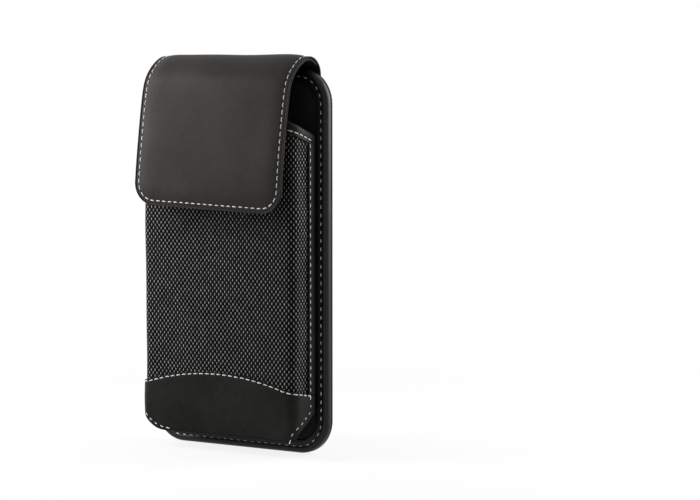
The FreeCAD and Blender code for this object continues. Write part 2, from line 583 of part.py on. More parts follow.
def gate_sleeve():
    """The gate: a round sleeve with a seam along it, forked over the frame's tongue, with a stepped tip
    under the nose and a bore for its spring."""
    radius = GATE_DIAMETER / 2
    top = GATE_SPAN - GATE_CLEARANCE
    sleeve = Part.makeCylinder(radius, top + GATE_TAIL, Vector(0, 0, -GATE_TAIL))
    slot = block(-radius, radius, -GATE_SLOT / 2, GATE_SLOT / 2, -GATE_TAIL, GATE_SLOT_TOP)
    step = block(-GATE_CLEARANCE / 2, radius, -radius, radius, top - GATE_LAP, top)
    bore = Part.makeCylinder(SPRING_BORE_DIAMETER / 2, SPRING_BORE_DEPTH, Vector(0, 0, GATE_SLOT_TOP))
    hole_radius = RIVET_DIAMETER / 2 + RIVET_FIT
    hole = Part.makeCylinder(hole_radius, GATE_DIAMETER, Vector(0, -radius, 0), Vector(0, 1, 0))
    seam = block(-GATE_SEAM_WIDTH / 2, GATE_SEAM_WIDTH / 2, radius - GATE_SEAM_DEPTH, radius,
                 GATE_SLOT_TOP + PAST, top - GATE_LAP - PAST)
    return beside_gate(sleeve.cut(slot).cut(step).cut(bore).cut(hole).cut(seam))


def gate_spring():
    """The small coil spring inside the gate, which pushes on the frame's tongue."""
    radius = (SPRING_DIAMETER - SPRING_WIRE) / 2
    length = GATE_SLOT_TOP + SPRING_BORE_DEPTH - SPRING_START
    coil = Part.makeHelix(SPRING_PITCH, length - SPRING_WIRE, radius)
    section = Part.Wire(Part.makeCircle(SPRING_WIRE / 2, Vector(radius, 0, 0), Vector(0, 1, 0)))
    spring = Part.Wire(coil).makePipeShell([section], True, True)
    spring.translate(Vector(0, 0, SPRING_START + SPRING_WIRE / 2))
    return beside_gate(spring)


def layer(front, thickness):
    """One flat layer of the back panel, inside its binding."""
    return panel_slab(BINDING_EDGE_RADIUS, front, thickness)


def pieces():
    """Every piece of the holster by name."""
    edging = wall_edging()
    strip = gusset()
    return {
        "panel_lining": layer(LINING_FACE, PANEL_LINING),
        "panel_stiffener": layer(BOARD_FACE, STIFFENER_BOARD),
        "panel_foam": layer(FOAM_FACE, PANEL_FOAM),
        "rear_cover": layer(COVER_FACE, REAR_COVER),
        "panel_binding": panel_binding(),
        "pouch_weave": pouch_weave(),
        "pouch_lining": pouch_lining(),
        "pocket_floor": pocket_floor(),
        "toe_cap": toe_cap(),
        "mouth_binding": mouth_binding(),
        "wall_edging_right": edging,
        "wall_edging_left": mirrored(edging),
        "elastic_gusset_right": strip,
        "elastic_gusset_left": mirrored(strip),
        "pouch_magnet": pouch_magnet(),
        "flap_anchor": flap_anchor(),
        "flap_leather": flap_leather(),
        "flap_lining": flap_lining(),
        "flap_magnet": flap_magnet(),
        "belt_loop": belt_loop(),
        "belt_loop_lining": belt_loop_lining(),
        "ring_tab": ring_tab(),
        "ring": ring(),
        "carabiner_frame": carabiner_frame(),
        "gate_rivet": gate_rivet(),
        "gate_sleeve": gate_sleeve(),
        "gate_spring": gate_spring(),
    }


os.makedirs("parts", exist_ok=True)
for name, shape in pieces().items():
    piece = shape.Solids[0]
    piece.translate(Vector(0, -BELT_SPACE_Y, -BELT_SPACE_Z))
    piece.exportStep(f"parts/{name}.step")
    centre = piece.CenterOfMass
    print(f"{name:22s} solids {len(shape.Solids)} valid {piece.isValid()} volume {piece.Volume:9.2f}"
          f" centre {centre.x:7.2f} {centre.y:7.2f} {centre.z:7.2f}")
hinge_height = FLAP_APEX - HINGE_BELOW_APEX
print(f"Hinge line y {HINGE_FROM_PANEL_FRONT - BELT_SPACE_Y:.3f} z {hinge_height - BELT_SPACE_Z:.3f}")
print(f"Ring axis y {TAB_AXIS_Y - BELT_SPACE_Y:.3f} z {TAB_AXIS_Z - BELT_SPACE_Z:.3f}")
print(f"Hang point x {HANG_X:.3f} y {CARABINER_Y - BELT_SPACE_Y:.3f} z {HANG_Z - BELT_SPACE_Z:.3f}")
rivet = carabiner_point(RIVET_FROM_SPINE, RIVET_HEIGHT)
print(f"Rivet x {rivet.x:.3f} y {rivet.y - BELT_SPACE_Y:.3f} z {rivet.z - BELT_SPACE_Z:.3f}")
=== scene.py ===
import math

import bmesh
import bpy
import numpy as np
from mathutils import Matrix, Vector


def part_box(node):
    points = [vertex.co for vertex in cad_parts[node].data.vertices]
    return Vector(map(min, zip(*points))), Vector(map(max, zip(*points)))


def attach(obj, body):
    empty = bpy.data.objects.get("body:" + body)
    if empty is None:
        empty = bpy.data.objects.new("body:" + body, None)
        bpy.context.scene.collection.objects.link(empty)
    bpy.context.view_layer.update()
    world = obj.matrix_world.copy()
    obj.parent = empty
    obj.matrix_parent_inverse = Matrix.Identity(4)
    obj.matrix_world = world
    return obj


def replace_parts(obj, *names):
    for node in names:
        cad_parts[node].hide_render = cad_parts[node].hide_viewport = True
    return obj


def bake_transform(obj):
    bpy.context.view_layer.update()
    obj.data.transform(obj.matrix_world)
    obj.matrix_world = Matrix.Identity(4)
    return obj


# A phone belt holster in black leather and woven nylon, sewn with off-white thread.
# Lengths here are millimetres from the foot of the back panel's pocket side, with X to the right seen
# from the front, Y to the rear and Z up. They turn into the frame's metres when a mesh is made.

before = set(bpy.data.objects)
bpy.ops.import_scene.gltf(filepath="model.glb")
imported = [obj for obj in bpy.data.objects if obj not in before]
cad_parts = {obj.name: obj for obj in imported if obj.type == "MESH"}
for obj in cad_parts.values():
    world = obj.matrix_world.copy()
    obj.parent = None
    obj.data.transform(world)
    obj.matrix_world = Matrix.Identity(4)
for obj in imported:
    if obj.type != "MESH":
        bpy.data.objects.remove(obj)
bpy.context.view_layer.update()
MM = 0.001
panel_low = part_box("panel_binding")[0]
HOME = np.array((0.0, panel_low.y, panel_low.z))


def span(node):
    """Lowest and highest corner of a CAD node in millimetres from the panel's foot."""
    low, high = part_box(node)
    return (np.array(low) - HOME) / MM, (np.array(high) - HOME) / MM


panel_box = span("panel_binding")
weave_box = span("pouch_weave")
toe_box = span("toe_cap")
flap_box = span("flap_leather")
anchor_box = span("flap_anchor")
loop_box = span("belt_loop")
cover_box = span("rear_cover")

# How far soft pieces stand off the CAD solids
PANEL_NARROWER = 0.9
WALL_LONGER = 0.8
MOUTH_HIGHER = 2.9
TOE_HIGHER = 0.5

# Sizes from the frame
PANEL_WIDTH = panel_box[1][0] - panel_box[0][0] - PANEL_NARROWER
PANEL_HEIGHT = panel_box[1][2]
PANEL_THICKNESS = panel_box[1][1]
COVER_REAR = cover_box[1][1]
POUCH_REAR_HALF = weave_box[1][0]
POUCH_FRONT = weave_box[0][1]
WALL_REAR = weave_box[1][1] + WALL_LONGER
MOUTH_FRONT_HEIGHT = weave_box[1][2] + MOUTH_HIGHER
TOE_BOTTOM = toe_box[0][2]
TOE_PEAK_HEIGHT = toe_box[1][2] + TOE_HIGHER
TOE_LEATHER = POUCH_FRONT - toe_box[0][1]
FLAP_WIDTH = flap_box[1][0] - flap_box[0][0]
FLAP_LIP = flap_box[0][2]
FLAP_FRONT = flap_box[0][1]
FLAP_APEX = flap_box[1][2]
HEM_HEIGHT = anchor_box[0][2]
LOOP_WIDTH = loop_box[1][0] - loop_box[0][0]
LOOP_TOP = loop_box[1][2]
LOOP_BOTTOM = loop_box[0][2]
LOOP_REAR = loop_box[1][1]

# Sizes of leather and cloth
PANEL_FOOT = -1.7
PANEL_CORNER = 15.5
BINDING_LEATHER = 0.9
BINDING_WIDTH = 6.0
BINDING_ROUND = 2.2
GROOVE_FROM_FRONT = 3.8
GROOVE_WIDTH = 0.55
GROOVE_DEPTH = 0.4
POUCH_TAPER = 0.75
POUCH_FOLD = 4.2
POUCH_WALL = 1.8
WEAVE_THICKNESS = 1.2
POUCH_LINING = 0.6
POUCH_LINING_MARGIN = 0.4
MOUTH_FALL = 6.5
MOUTH_LEATHER = 0.8
MOUTH_BAND = 4.6
EDGING_BAND = 4.7
EDGING_LEATHER = 0.7
TOE_FOLD_HEIGHT = 29.2
TOE_REAR_HEIGHT = 26.0
TOE_EDGE_ROUND = 2.0
FLOOR_HALF = 33.0
FLOOR_LEFT = 27.5
FLAP_LEATHER = 1.4
FLAP_LINING = 1.0
FLAP_CORNER = 10.5
HINGE_Y = 1.1
HEM_REAR = COVER_REAR + FLAP_LEATHER
LOOP_LEATHER = 1.4
LOOP_LINING = 0.9
LOOP_SEAT = COVER_REAR + LOOP_LINING + LOOP_LEATHER

# Sewing
STITCH_PITCH = 3.2
PANEL_PITCH = 3.8
STITCH_LENGTH = 1.95
THREAD_RADIUS = 0.23
PANEL_THREAD_RADIUS = 0.19
FLAP_SEAM = 2.3
LOOP_SEAM = 2.5
PANEL_SEAM = 3.3
TOE_SEAM = 0.95
MOUTH_SEAM = 3.1
EDGING_SEAM = 3.7
HEM_SEAMS = (144.5, 151.0)
LOOP_SEAMS = (71.2, 77.0)
SEAM_WIDTH = 0.55
SEAM_DEPTH = 0.22


# Tracks that sheets and seams follow

def smooth_curve(points, start_turn, end_turn, step):
    """Evenly spaced points on a cubic spline through the given (a, b) points."""
    points = np.array(points, float)
    chord = np.concatenate(([0], np.cumsum(np.linalg.norm(np.diff(points, axis=0), axis=1))))
    count = len(points)
    gaps = np.diff(chord)
    system = np.zeros((count, count))
    right = np.zeros((count, 2))
    system[0, 0] = system[-1, -1] = 1
    right[0], right[-1] = start_turn, end_turn
    for i in range(1, count - 1):
        before, after = gaps[i - 1], gaps[i]
        system[i, i - 1:i + 2] = after, 2 * (before + after), before
        slope_before = (points[i] - points[i - 1]) / before
        slope_after = (points[i + 1] - points[i]) / after
        right[i] = 3 * (after * slope_before + before * slope_after)
    slopes = np.linalg.solve(system, right)
    found = []
    for i in range(count - 1):
        width = gaps[i]
        for t in np.arange(0, 1, min(0.5, 0.4 / width)):
            found.append((1 + 2 * t) * (1 - t) ** 2 * points[i] + t * (1 - t) ** 2 * width * slopes[i]
                         + t * t * (3 - 2 * t) * points[i + 1] + t * t * (t - 1) * width * slopes[i + 1])
    found.append(points[-1])
    return even(np.array(found), step)


def even(points, step):
    """The same line with its points an even distance apart."""
    run = np.concatenate(([0], np.cumsum(np.linalg.norm(np.diff(points, axis=0), axis=1))))
    places = np.linspace(0, run[-1], max(2, round(run[-1] / step) + 1))
    return np.stack([np.interp(places, run, points[:, k]) for k in range(points.shape[1])], axis=1)


class Track:
    """A line on an outer face, with its outward normals, the length so far and the direction across."""

    def __init__(self, points, across):
        self.points = np.array(points, float)
        self.across = np.array(across, float)
        steps = np.linalg.norm(np.diff(self.points, axis=0), axis=1)
        self.run = np.concatenate(([0], np.cumsum(steps)))
        along = np.gradient(self.points, self.run, axis=0)
        along /= np.linalg.norm(along, axis=1)[:, None]
        self.normals = np.cross(along, self.across)
        self.length = self.run[-1]

    def mix(self, values, s):
        """Values between the track's points, at length s."""
        return np.stack([np.interp(s, self.run, values[:, k]) for k in range(3)], axis=-1)

    def normal(self, s):
        """Outward direction at length s."""
        found = self.mix(self.normals, s)
        return found / np.linalg.norm(found, axis=-1)[..., None]

    def place(self, s, c, out):
        """Points at length s, c across the track and out from its face."""
        s, c, out = np.broadcast_arrays(np.asarray(s, float), np.asarray(c, float), np.asarray(out, float))
        return self.mix(self.points, s) + c[..., None] * self.across + out[..., None] * self.normal(s)


def flap_track():
    """The flap's outer face from its rear hem over the top to its lip."""
    over, fall, shoulder = 1.25, FLAP_APEX - FLAP_LIP, 19.0
    points = [(HEM_REAR, PANEL_HEIGHT - 12), (HEM_REAR + 0.88 * over, PANEL_HEIGHT - 6.4),
              (HEM_REAR + over, PANEL_HEIGHT - 3.3), (HEM_REAR + 0.6 * over, PANEL_HEIGHT),
              (HEM_REAR - 1.2 * over, PANEL_HEIGHT + 3.4), (HINGE_Y, FLAP_APEX - 0.5),
              (HINGE_Y - 4.2, FLAP_APEX)]
    bow = [(1.0, 0.019), (0.653, 0.086), (0.442, 0.164), (0.337, 0.261), (0.163, 0.543), (0.026, 0.843),
           (0, 1)]
    points += [(FLAP_FRONT + back * shoulder, FLAP_APEX - down * fall) for back, down in bow]
    curve = smooth_curve(points, (0, 1), (0, -1), 0.8)
    line = np.concatenate(([(HEM_REAR, HEM_HEIGHT)], curve))
    line = even(line, 0.8)
    return FlapTrack(np.column_stack((np.zeros(len(line)), line)), (1, 0, 0))


def loop_track():
    """The belt loop's outer face from its foot up, over the top fold and down behind itself."""
    gap = LOOP_REAR - LOOP_SEAT
    length = LOOP_TOP - LOOP_BOTTOM
    bow = [(0.098, 0.02), (0.191, 0.27), (0.306, 0.60), (0.457, 0.85), (0.653, 0.98), (0.827, 1.0)]
    fold = (LOOP_REAR - HEM_REAR) / 2
    points = [(LOOP_SEAT, LOOP_BOTTOM + 3.5)]
    points += [(LOOP_SEAT + out * gap, LOOP_BOTTOM + up * length) for up, out in bow]
    points.append((LOOP_REAR, LOOP_TOP - fold))
    curve = smooth_curve(points, (0, 1), (0, 1), 0.8)
    turns = np.linspace(0, math.pi, 16)[1:]
    arc = np.column_stack((HEM_REAR + fold + fold * np.cos(turns), LOOP_TOP - fold + fold * np.sin(turns)))
    line = np.concatenate(([(LOOP_SEAT, LOOP_BOTTOM)], curve, arc, [(HEM_REAR, HEM_HEIGHT)]))
    line = even(line, 0.7)
    return Track(np.column_stack((np.zeros(len(line)), line)), (1, 0, 0))


def pouch_track():
    """The pouch's woven face from the left wall's rear edge round the front to the right one."""
    front_half = POUCH_REAR_HALF - POUCH_TAPER
    depth = WALL_REAR - POUCH_FRONT
    lean = math.atan2(POUCH_TAPER, depth)
    turn = math.pi / 2 - lean
    tangent = POUCH_FOLD * math.tan(turn / 2)
    corner = np.array((-front_half, POUCH_FRONT))
    centre = corner + (tangent, POUCH_FOLD)
    angles = np.linspace(math.pi + lean, 1.5 * math.pi, 12)
    fold = centre + POUCH_FOLD * np.column_stack((np.cos(angles), np.sin(angles)))
    left = np.concatenate(([(-POUCH_REAR_HALF, WALL_REAR)], fold))
    right = left[::-1] * (-1, 1)
    line = even(np.concatenate((left, right)), 0.7)
    return Track(np.column_stack((line, np.zeros(len(line)))), (0, 0, 1))


def waves(along, across):
    """A slow, fixed unevenness between about -1 and 1, as in hand-cut leather."""
    total = 0
    swells = ((0.11, 0.09, 0.3, 1.1), (0.07, 0.17, 1.7, 0.2), (0.19, 0.06, 4.1, 2.9))
    for first, second, start, turn in swells:
        total = total + np.sin(first * along + start) * np.sin(second * across + turn)
    return total / 2


def seam_dip(distance, run, pitch=STITCH_PITCH):
    """How a seam pulls leather in, deepest at the needle holes."""
    pull = 0.72 + 0.28 * np.cos(2 * math.pi * run / pitch)
    return -SEAM_DEPTH * pull * np.exp(-(distance / SEAM_WIDTH) ** 2)


# Meshes

def add_object(name, data):
    """A new object in the scene."""
    thing = bpy.data.objects.new(name, data)
    bpy.context.scene.collection.objects.link(thing)
    return thing


def make_object(name, points, faces, places=None, border=None):
    """A mesh object from millimetre points, with a cloth map in metres and a border mark if given."""
    mesh = bpy.data.meshes.new(name)
    mesh.from_pydata((np.asarray(points) * MM + HOME).tolist(), [], faces)
    if places is not None:
        layer = mesh.uv_layers.new(name="cloth")
        corners = np.zeros(len(mesh.loops), int)
        mesh.loops.foreach_get("vertex_index", corners)
        layer.data.foreach_set("uv", (np.asarray(places)[corners] * MM).ravel())
    if border is not None:
        mark = mesh.attributes.new("border", "FLOAT", "POINT")
        mark.data.foreach_set("value", np.asarray(border, np.float32))
    thing = add_object(name, mesh)
    work = bmesh.new()
    work.from_mesh(mesh)
    bmesh.ops.remove_doubles(work, verts=work.verts, dist=1e-7)
    bmesh.ops.dissolve_degenerate(work, dist=1e-8, edges=work.edges)
    bmesh.ops.recalc_face_normals(work, faces=work.faces)
    work.to_mesh(mesh)
    work.free()
    mesh.shade_smooth()
    return thing


def near_edge(low, high, step):
    """Places from low to high that crowd near both ends, where an edge is rounded."""
    close = np.array((0, 0.06, 0.2, 0.42, 0.7, 1.05, 1.45, 1.85, 2.3, 2.75, 3.3))
    room = high - low
    if room < 2 * close[-1] + step:
        close = close * room / (2 * close[-1] + step)
    middle = np.linspace(low + close[-1], high - close[-1], max(2, round((room - 2 * close[-1]) / step) + 1))
    return np.concatenate((low + close[:-1], middle, (high - close[:-1])[::-1]))


def grid_faces(rows, columns, start=0, flip=False):
    """Quads over a grid of points that is stored row by row."""
    faces = []
    for i in range(rows - 1):
        for j in range(columns - 1):
            corner = start + i * columns + j
            face = (corner, corner + columns, corner + columns + 1, corner + 1)
            faces.append(face[::-1] if flip else face)
    return faces


def sheet(name, track, stations, reach, thickness, inset, relief=None, lift=0.0, step=1.3, upright=False):
    """A closed sheet with rounded edges that follows a track. reach(s) gives its two edges across,
    inset(s, c) the distance to the nearest edge and relief(s, c, d) the height of its outer face. The cloth
    map's second direction runs along the track, or across it on an upright sheet."""
    half = thickness / 2
    widest = max(stations, key=lambda s: reach(s)[1] - reach(s)[0])
    shares = near_edge(*reach(widest), step)
    shares = (shares - shares[0]) / (shares[-1] - shares[0])
    outer, inner, places, border = [], [], [], []
    for s in stations:
        low, high = reach(s)
        c = low + shares * (high - low)
        d = np.clip(inset(s, c), 0, None)
        d[0] = d[-1] = 0
        if s in (stations[0], stations[-1]):
            d[:] = 0
        edge = np.where(d < half, half - np.sqrt(np.maximum(half ** 2 - (half - d) ** 2, 0)), 0)
        height = relief(s, c, d) * np.clip(d / half, 0, 1) if relief else 0
        outer.append(track.place(s, c, lift + height - edge))
        inner.append(track.place(s, c, lift - thickness + edge))
        run = np.full(len(c), s)
        places.append(np.column_stack((run, c) if upright else (c, run)))
        # Border mark for the leather's dark edge, which is partly edge paint and partly painted shade
        border.append(np.clip(1.6 - d / 0.75, 0, 1))
    rows, columns = len(stations), len(shares)
    points = np.concatenate([np.concatenate(outer), np.concatenate(inner)])
    faces = grid_faces(rows, columns) + grid_faces(rows, columns, rows * columns, True)
    return make_object(name, points, faces, np.concatenate(places + places), np.concatenate(border + border))


def swept(name, origins, outs, ups, section, closed):
    """A closed section carried along frames. section(i) gives its (out, up) points at frame i."""
    loops = [np.array(section(i)) for i in range(len(origins))]
    rings = [origins[i] + loops[i][:, :1] * outs[i] + loops[i][:, 1:] * ups[i] for i in range(len(origins))]
    size = len(loops[0])
    count = len(rings)
    faces = []
    for i in range(count if closed else count - 1):
        following = (i + 1) % count
        for j in range(size):
            beside = (j + 1) % size
            faces.append((i * size + j, following * size + j, following * size + beside, i * size + beside))
    run = np.concatenate(([0], np.cumsum(np.linalg.norm(np.diff(np.array(origins), axis=0), axis=1))))
    places = [(s, u) for s in run for u in np.arange(size) * 0.4]
    points = np.concatenate(rings)
    if not closed:
        faces.append(tuple(range(size)))
        faces.append(tuple(range((count - 1) * size, count * size))[::-1])
    return make_object(name, points, faces, places)


def cut_edge_profile(outline, thickness):
    """A leather strip's section: an open line and its copy a thickness inside, with a round at each end."""
    outline = np.array(outline, float)
    along = np.gradient(outline, axis=0)
    along /= np.linalg.norm(along, axis=1)[:, None]
    side = np.column_stack((along[:, 1], -along[:, 0]))
    inside = outline - side * thickness
    ends = []
    for at, sign in ((-1, 1), (0, -1)):
        middle = (outline[at] + inside[at]) / 2
        angles = np.linspace(0, math.pi, 6)[1:-1]
        radial = side[at] if sign > 0 else -side[at]
        ends.append([middle + thickness / 2 * (math.cos(a) * radial + math.sin(a) * sign * along[at])
                     for a in angles])
    return np.concatenate((outline, ends[0], inside[::-1], ends[1]))


# Materials

class Nodes:
    """Short ways to add and join shader or geometry nodes in one tree."""

    def __init__(self, tree):
        self.tree = tree

    def add(self, kind, inputs=None, **settings):
        node = self.tree.nodes.new(kind)
        for key, value in settings.items():
            setattr(node, key, value)
        for key, value in (inputs or {}).items():
            self.feed(node.inputs[key], value)
        return node

    def feed(self, socket, value):
        if isinstance(value, bpy.types.NodeSocket):
            self.tree.links.new(value, socket)
        else:
            socket.default_value = value

    def math(self, operation, *values):
        node = self.add("ShaderNodeMath", operation=operation)
        for socket, value in zip(node.inputs, values):
            self.feed(socket, value)
        return node.outputs[0]

    def ramp(self, value, low, high, to_low=0.0, to_high=1.0):
        node = self.add("ShaderNodeMapRange", {"Value": value, "From Min": low, "From Max": high,
                                               "To Min": to_low, "To Max": to_high},
                        interpolation_type="SMOOTHSTEP")
        return node.outputs["Result"]

    def blend(self, share, first, second):
        node = self.add("ShaderNodeMix", data_type="RGBA")
        self.feed(node.inputs["Factor"], share)
        self.feed(node.inputs[6], first)
        self.feed(node.inputs[7], second)
        return node.outputs[2]

    def noise(self, vector, size, detail=3.0, roughness=0.55):
        node = self.add("ShaderNodeTexNoise", {"Vector": vector, "Scale": 1 / (size * MM), "Detail": detail,
                                               "Roughness": roughness})
        return node.outputs["Fac"]

    def dent(self, surface, height, strength, distance):
        """Bumps a surface by a height."""
        bump = self.add("ShaderNodeBump", {"Height": height, "Strength": strength, "Distance": distance})
        self.feed(surface.inputs["Normal"], bump.outputs["Normal"])


def shader_group(name, inputs, outputs):
    """An empty shader node group with float inputs and outputs, and a Vector input."""
    tree = bpy.data.node_groups.new(name, "ShaderNodeTree")
    tree.interface.new_socket("Vector", in_out="INPUT", socket_type="NodeSocketVector")
    for label, value in inputs.items():
        tree.interface.new_socket(label, in_out="INPUT", socket_type="NodeSocketFloat").default_value = value
    for label in outputs:
        tree.interface.new_socket(label, in_out="OUTPUT", socket_type="NodeSocketFloat")
    net = Nodes(tree)
    return net, net.add("NodeGroupInput"), net.add("NodeGroupOutput")


def leather_grain():
    """Pebbled grain with pores and a slow mottle."""
    net, given, result = shader_group("leather_grain", {"Pebble": 1000.0}, ("Height", "Mottle"))
    bend = net.add("ShaderNodeTexNoise", {"Vector": given.outputs["Vector"], "Scale": 420.0, "Detail": 2.0})
    warped = net.add("ShaderNodeVectorMath", {0: bend.outputs["Color"], 1: (0.0005, 0.0005, 0.0005)},
                     operation="MULTIPLY_ADD")
    net.feed(warped.inputs[2], given.outputs["Vector"])
    cells = net.add("ShaderNodeTexVoronoi", {"Vector": warped.outputs[0], "Scale": given.outputs["Pebble"]},
                    feature="DISTANCE_TO_EDGE")
    crease = net.ramp(cells.outputs["Distance"], 0.0, 0.22)
    pores = net.noise(given.outputs["Vector"], 0.35)
    height = net.math("MULTIPLY_ADD", pores, 0.35, net.math("MULTIPLY", crease, 0.65))
    net.feed(result.inputs["Height"], height)
    broad = net.noise(given.outputs["Vector"], 24.0, 2.0)
    fine = net.noise(given.outputs["Vector"], 3.0)
    net.feed(result.inputs["Mottle"], net.math("MULTIPLY_ADD", fine, 0.35, net.math("MULTIPLY", broad, 0.65)))
    return net.tree


def plain_weave():
    """Heavy nylon yarns that pass over and under each other, upright ones in U and level ones in V."""
    inputs = {"Upright Pitch": 0.001, "Level Pitch": 0.00125, "Crimp": 0.55}
    net, given, result = shader_group("plain_weave", inputs, ("Height", "Dash", "Float", "Level"))
    parts = net.add("ShaderNodeSeparateXYZ", {"Vector": given.outputs["Vector"]})
    across = net.math("DIVIDE", parts.outputs["X"], given.outputs["Upright Pitch"])
    along = net.math("DIVIDE", parts.outputs["Y"], given.outputs["Level Pitch"])

    def yarn(side, line, turn):
        """The round of one set of yarns, and its rise and fall along them."""
        place = net.math("FRACT", side)
        arch = net.math("MULTIPLY", net.math("MULTIPLY", place, net.math("SUBTRACT", 1.0, place)), 4.0)
        phase = net.math("MULTIPLY", net.math("ADD", line, net.math("FLOOR", side)), math.pi)
        rise = net.math("MULTIPLY", net.math("SINE", phase), turn)
        return arch, rise

    upright_arch, upright_rise = yarn(across, along, 1.0)
    level_arch, level_rise = yarn(along, across, -1.0)
    upright = net.math("MULTIPLY_ADD", upright_rise, given.outputs["Crimp"], upright_arch)
    level = net.math("MULTIPLY_ADD", level_rise, given.outputs["Crimp"], level_arch)
    net.feed(result.inputs["Height"], net.math("MAXIMUM", upright, level))
    # Dash marks the crowns of the upright floats, where the painted highlight goes; Float marks where the
    # upright yarn lies on top, for the painted sheen
    float_shape = net.math("MULTIPLY", net.math("POWER", upright_arch, 2.6),
                            net.math("POWER", net.math("MAXIMUM", upright_rise, 0.0), 0.6))
    net.feed(result.inputs["Dash"], net.ramp(float_shape, 0.2, 0.88))
    net.feed(result.inputs["Float"], net.ramp(net.math("SUBTRACT", upright, level), -0.1, 0.3))
    net.feed(result.inputs["Level"], net.ramp(level, 0.9, 1.5))
    return net.tree


GRAIN = leather_grain()
WEAVE = plain_weave()


def new_material(name):
    """A material with its nodes and its surface shader."""
    material = bpy.data.materials.new(name)
    material.use_nodes = True
    net = Nodes(material.node_tree)
    surface = material.node_tree.nodes["Principled BSDF"]
    return material, net, surface


def leather(name, dark, light, pebble, rough, bump, gloss):
    """Dyed leather: a mottled near-black with a fine grain, and a near-black border that is partly edge paint
    and partly painted shade on the rolled, rounded edge.
    """
    material, net, surface = new_material(name)
    place = net.add("ShaderNodeTexCoord").outputs["Object"]
    grain = net.add("ShaderNodeGroup", node_tree=GRAIN)
    net.feed(grain.inputs["Vector"], place)
    grain.inputs["Pebble"].default_value = 1 / (pebble * MM)
    mottle = net.ramp(grain.outputs["Mottle"], 0.32, 0.68)
    dyed = net.blend(mottle, (*dark, 1), (*light, 1))
    # The border mark darkens the rounded cut edge: partly edge paint, partly painted shade standing in for
    # the rolled border's shade
    dark_edge_and_shade = net.add("ShaderNodeAttribute", attribute_name="border").outputs["Fac"]
    net.feed(surface.inputs["Base Color"], net.blend(dark_edge_and_shade, dyed, (0.004, 0.004, 0.004, 1)))
    net.feed(surface.inputs["Roughness"], net.ramp(grain.outputs["Height"], 0.1, 0.9, rough + 0.14, rough))
    surface.inputs["Specular IOR Level"].default_value = gloss
    net.dent(surface, grain.outputs["Height"], bump, 0.00012)
    return material


def woven(name, crown_painted_highlight_tone, upright_painted_sheen_tone, level_tone, gap_painted_shade_tone, upright_pitch, level_pitch, bump=0.9):
    """Woven nylon that follows the piece's own cloth map, with a painted highlight on the crowns of the
    upright floats, a fainter painted sheen on the floats and painted shade in the gaps between yarns.
    """
    material, net, surface = new_material(name)
    place = net.add("ShaderNodeUVMap", uv_map="cloth").outputs["UV"]
    weave = net.add("ShaderNodeGroup", node_tree=WEAVE)
    net.feed(weave.inputs["Vector"], place)
    weave.inputs["Upright Pitch"].default_value = upright_pitch * MM
    weave.inputs["Level Pitch"].default_value = level_pitch * MM
    # Painted light on black nylon: painted shade in the gaps, a painted sheen on the upright floats and a
    # painted highlight on their crowns
    level = net.blend(weave.outputs["Level"], (*gap_painted_shade_tone, 1), (*level_tone, 1))
    body = net.blend(weave.outputs["Float"], level, (*upright_painted_sheen_tone, 1))
    yarns_and_painted_light = net.blend(weave.outputs["Dash"], body, (*crown_painted_highlight_tone, 1))
    shade = net.noise(net.add("ShaderNodeTexCoord").outputs["Object"], 5.0, 5.0, 0.7)
    wear_off = net.ramp(shade, 0.3, 0.7, 0.78, 1.22)
    worn = net.add("ShaderNodeHueSaturation", {"Color": yarns_and_painted_light, "Value": wear_off})
    net.feed(surface.inputs["Base Color"], worn.outputs["Color"])
    net.feed(surface.inputs["Roughness"], net.ramp(weave.outputs["Height"], 0.3, 1.4, 0.8, 0.5))
    surface.inputs["Specular IOR Level"].default_value = 0.02
    net.dent(surface, weave.outputs["Height"], bump, 0.00025)
    return material


def cloth(name, tone, size, rough=0.85):
    """Plain dark cloth, elastic or foam, with a fine broken surface."""
    material, net, surface = new_material(name)
    place = net.add("ShaderNodeTexCoord").outputs["Object"]
    fine = net.noise(place, size, 4.0, 0.65)
    lighter = [1.9 * value for value in tone]
    net.feed(surface.inputs["Base Color"], net.blend(net.ramp(fine, 0.35, 0.7), (*tone, 1), (*lighter, 1)))
    net.feed(surface.inputs["Roughness"], net.ramp(fine, 0.3, 0.7, rough, rough - 0.2))
    surface.inputs["Specular IOR Level"].default_value = 0.2
    net.dent(surface, fine, 0.6, 0.0002)
    return material


def metal(name, tone, rough, scratch=0.05):
    """Plated wire or sleeve with faint drawing lines."""
    material, net, surface = new_material(name)
    place = net.add("ShaderNodeTexCoord").outputs["Object"]
    drawn = net.add("ShaderNodeMapping", {"Vector": place, "Scale": (6.0, 6.0, 0.5)})
    lines = net.noise(drawn.outputs["Vector"], 1.4, 5.0, 0.7)
    cloud = net.noise(place, 6.0, 3.0)
    surface.inputs["Metallic"].default_value = 1.0
    duller = [0.82 * value for value in tone]
    net.feed(surface.inputs["Base Color"], net.blend(net.ramp(cloud, 0.4, 0.75), (*tone, 1), (*duller, 1)))
    net.feed(surface.inputs["Roughness"], net.ramp(lines, 0.3, 0.75, rough, rough + scratch))
    net.dent(surface, lines, 0.12, 0.00004)
    return material


def thread(name):
    """Off-white polyester thread, a little greyer where it rubs."""
    material, net, surface = new_material(name)
    place = net.add("ShaderNodeTexCoord").outputs["Object"]
    twist = net.noise(place, 0.4, 2.0)
    net.feed(surface.inputs["Base Color"],
             net.blend(net.ramp(twist, 0.3, 0.7), (0.70, 0.68, 0.62, 1), (0.93, 0.91, 0.85, 1)))
    net.feed(surface.inputs["Roughness"], net.ramp(twist, 0.3, 0.7, 0.7, 0.5))
    surface.inputs["Sheen Weight"].default_value = 0.2
    net.dent(surface, twist, 0.4, 0.0001)
    return material


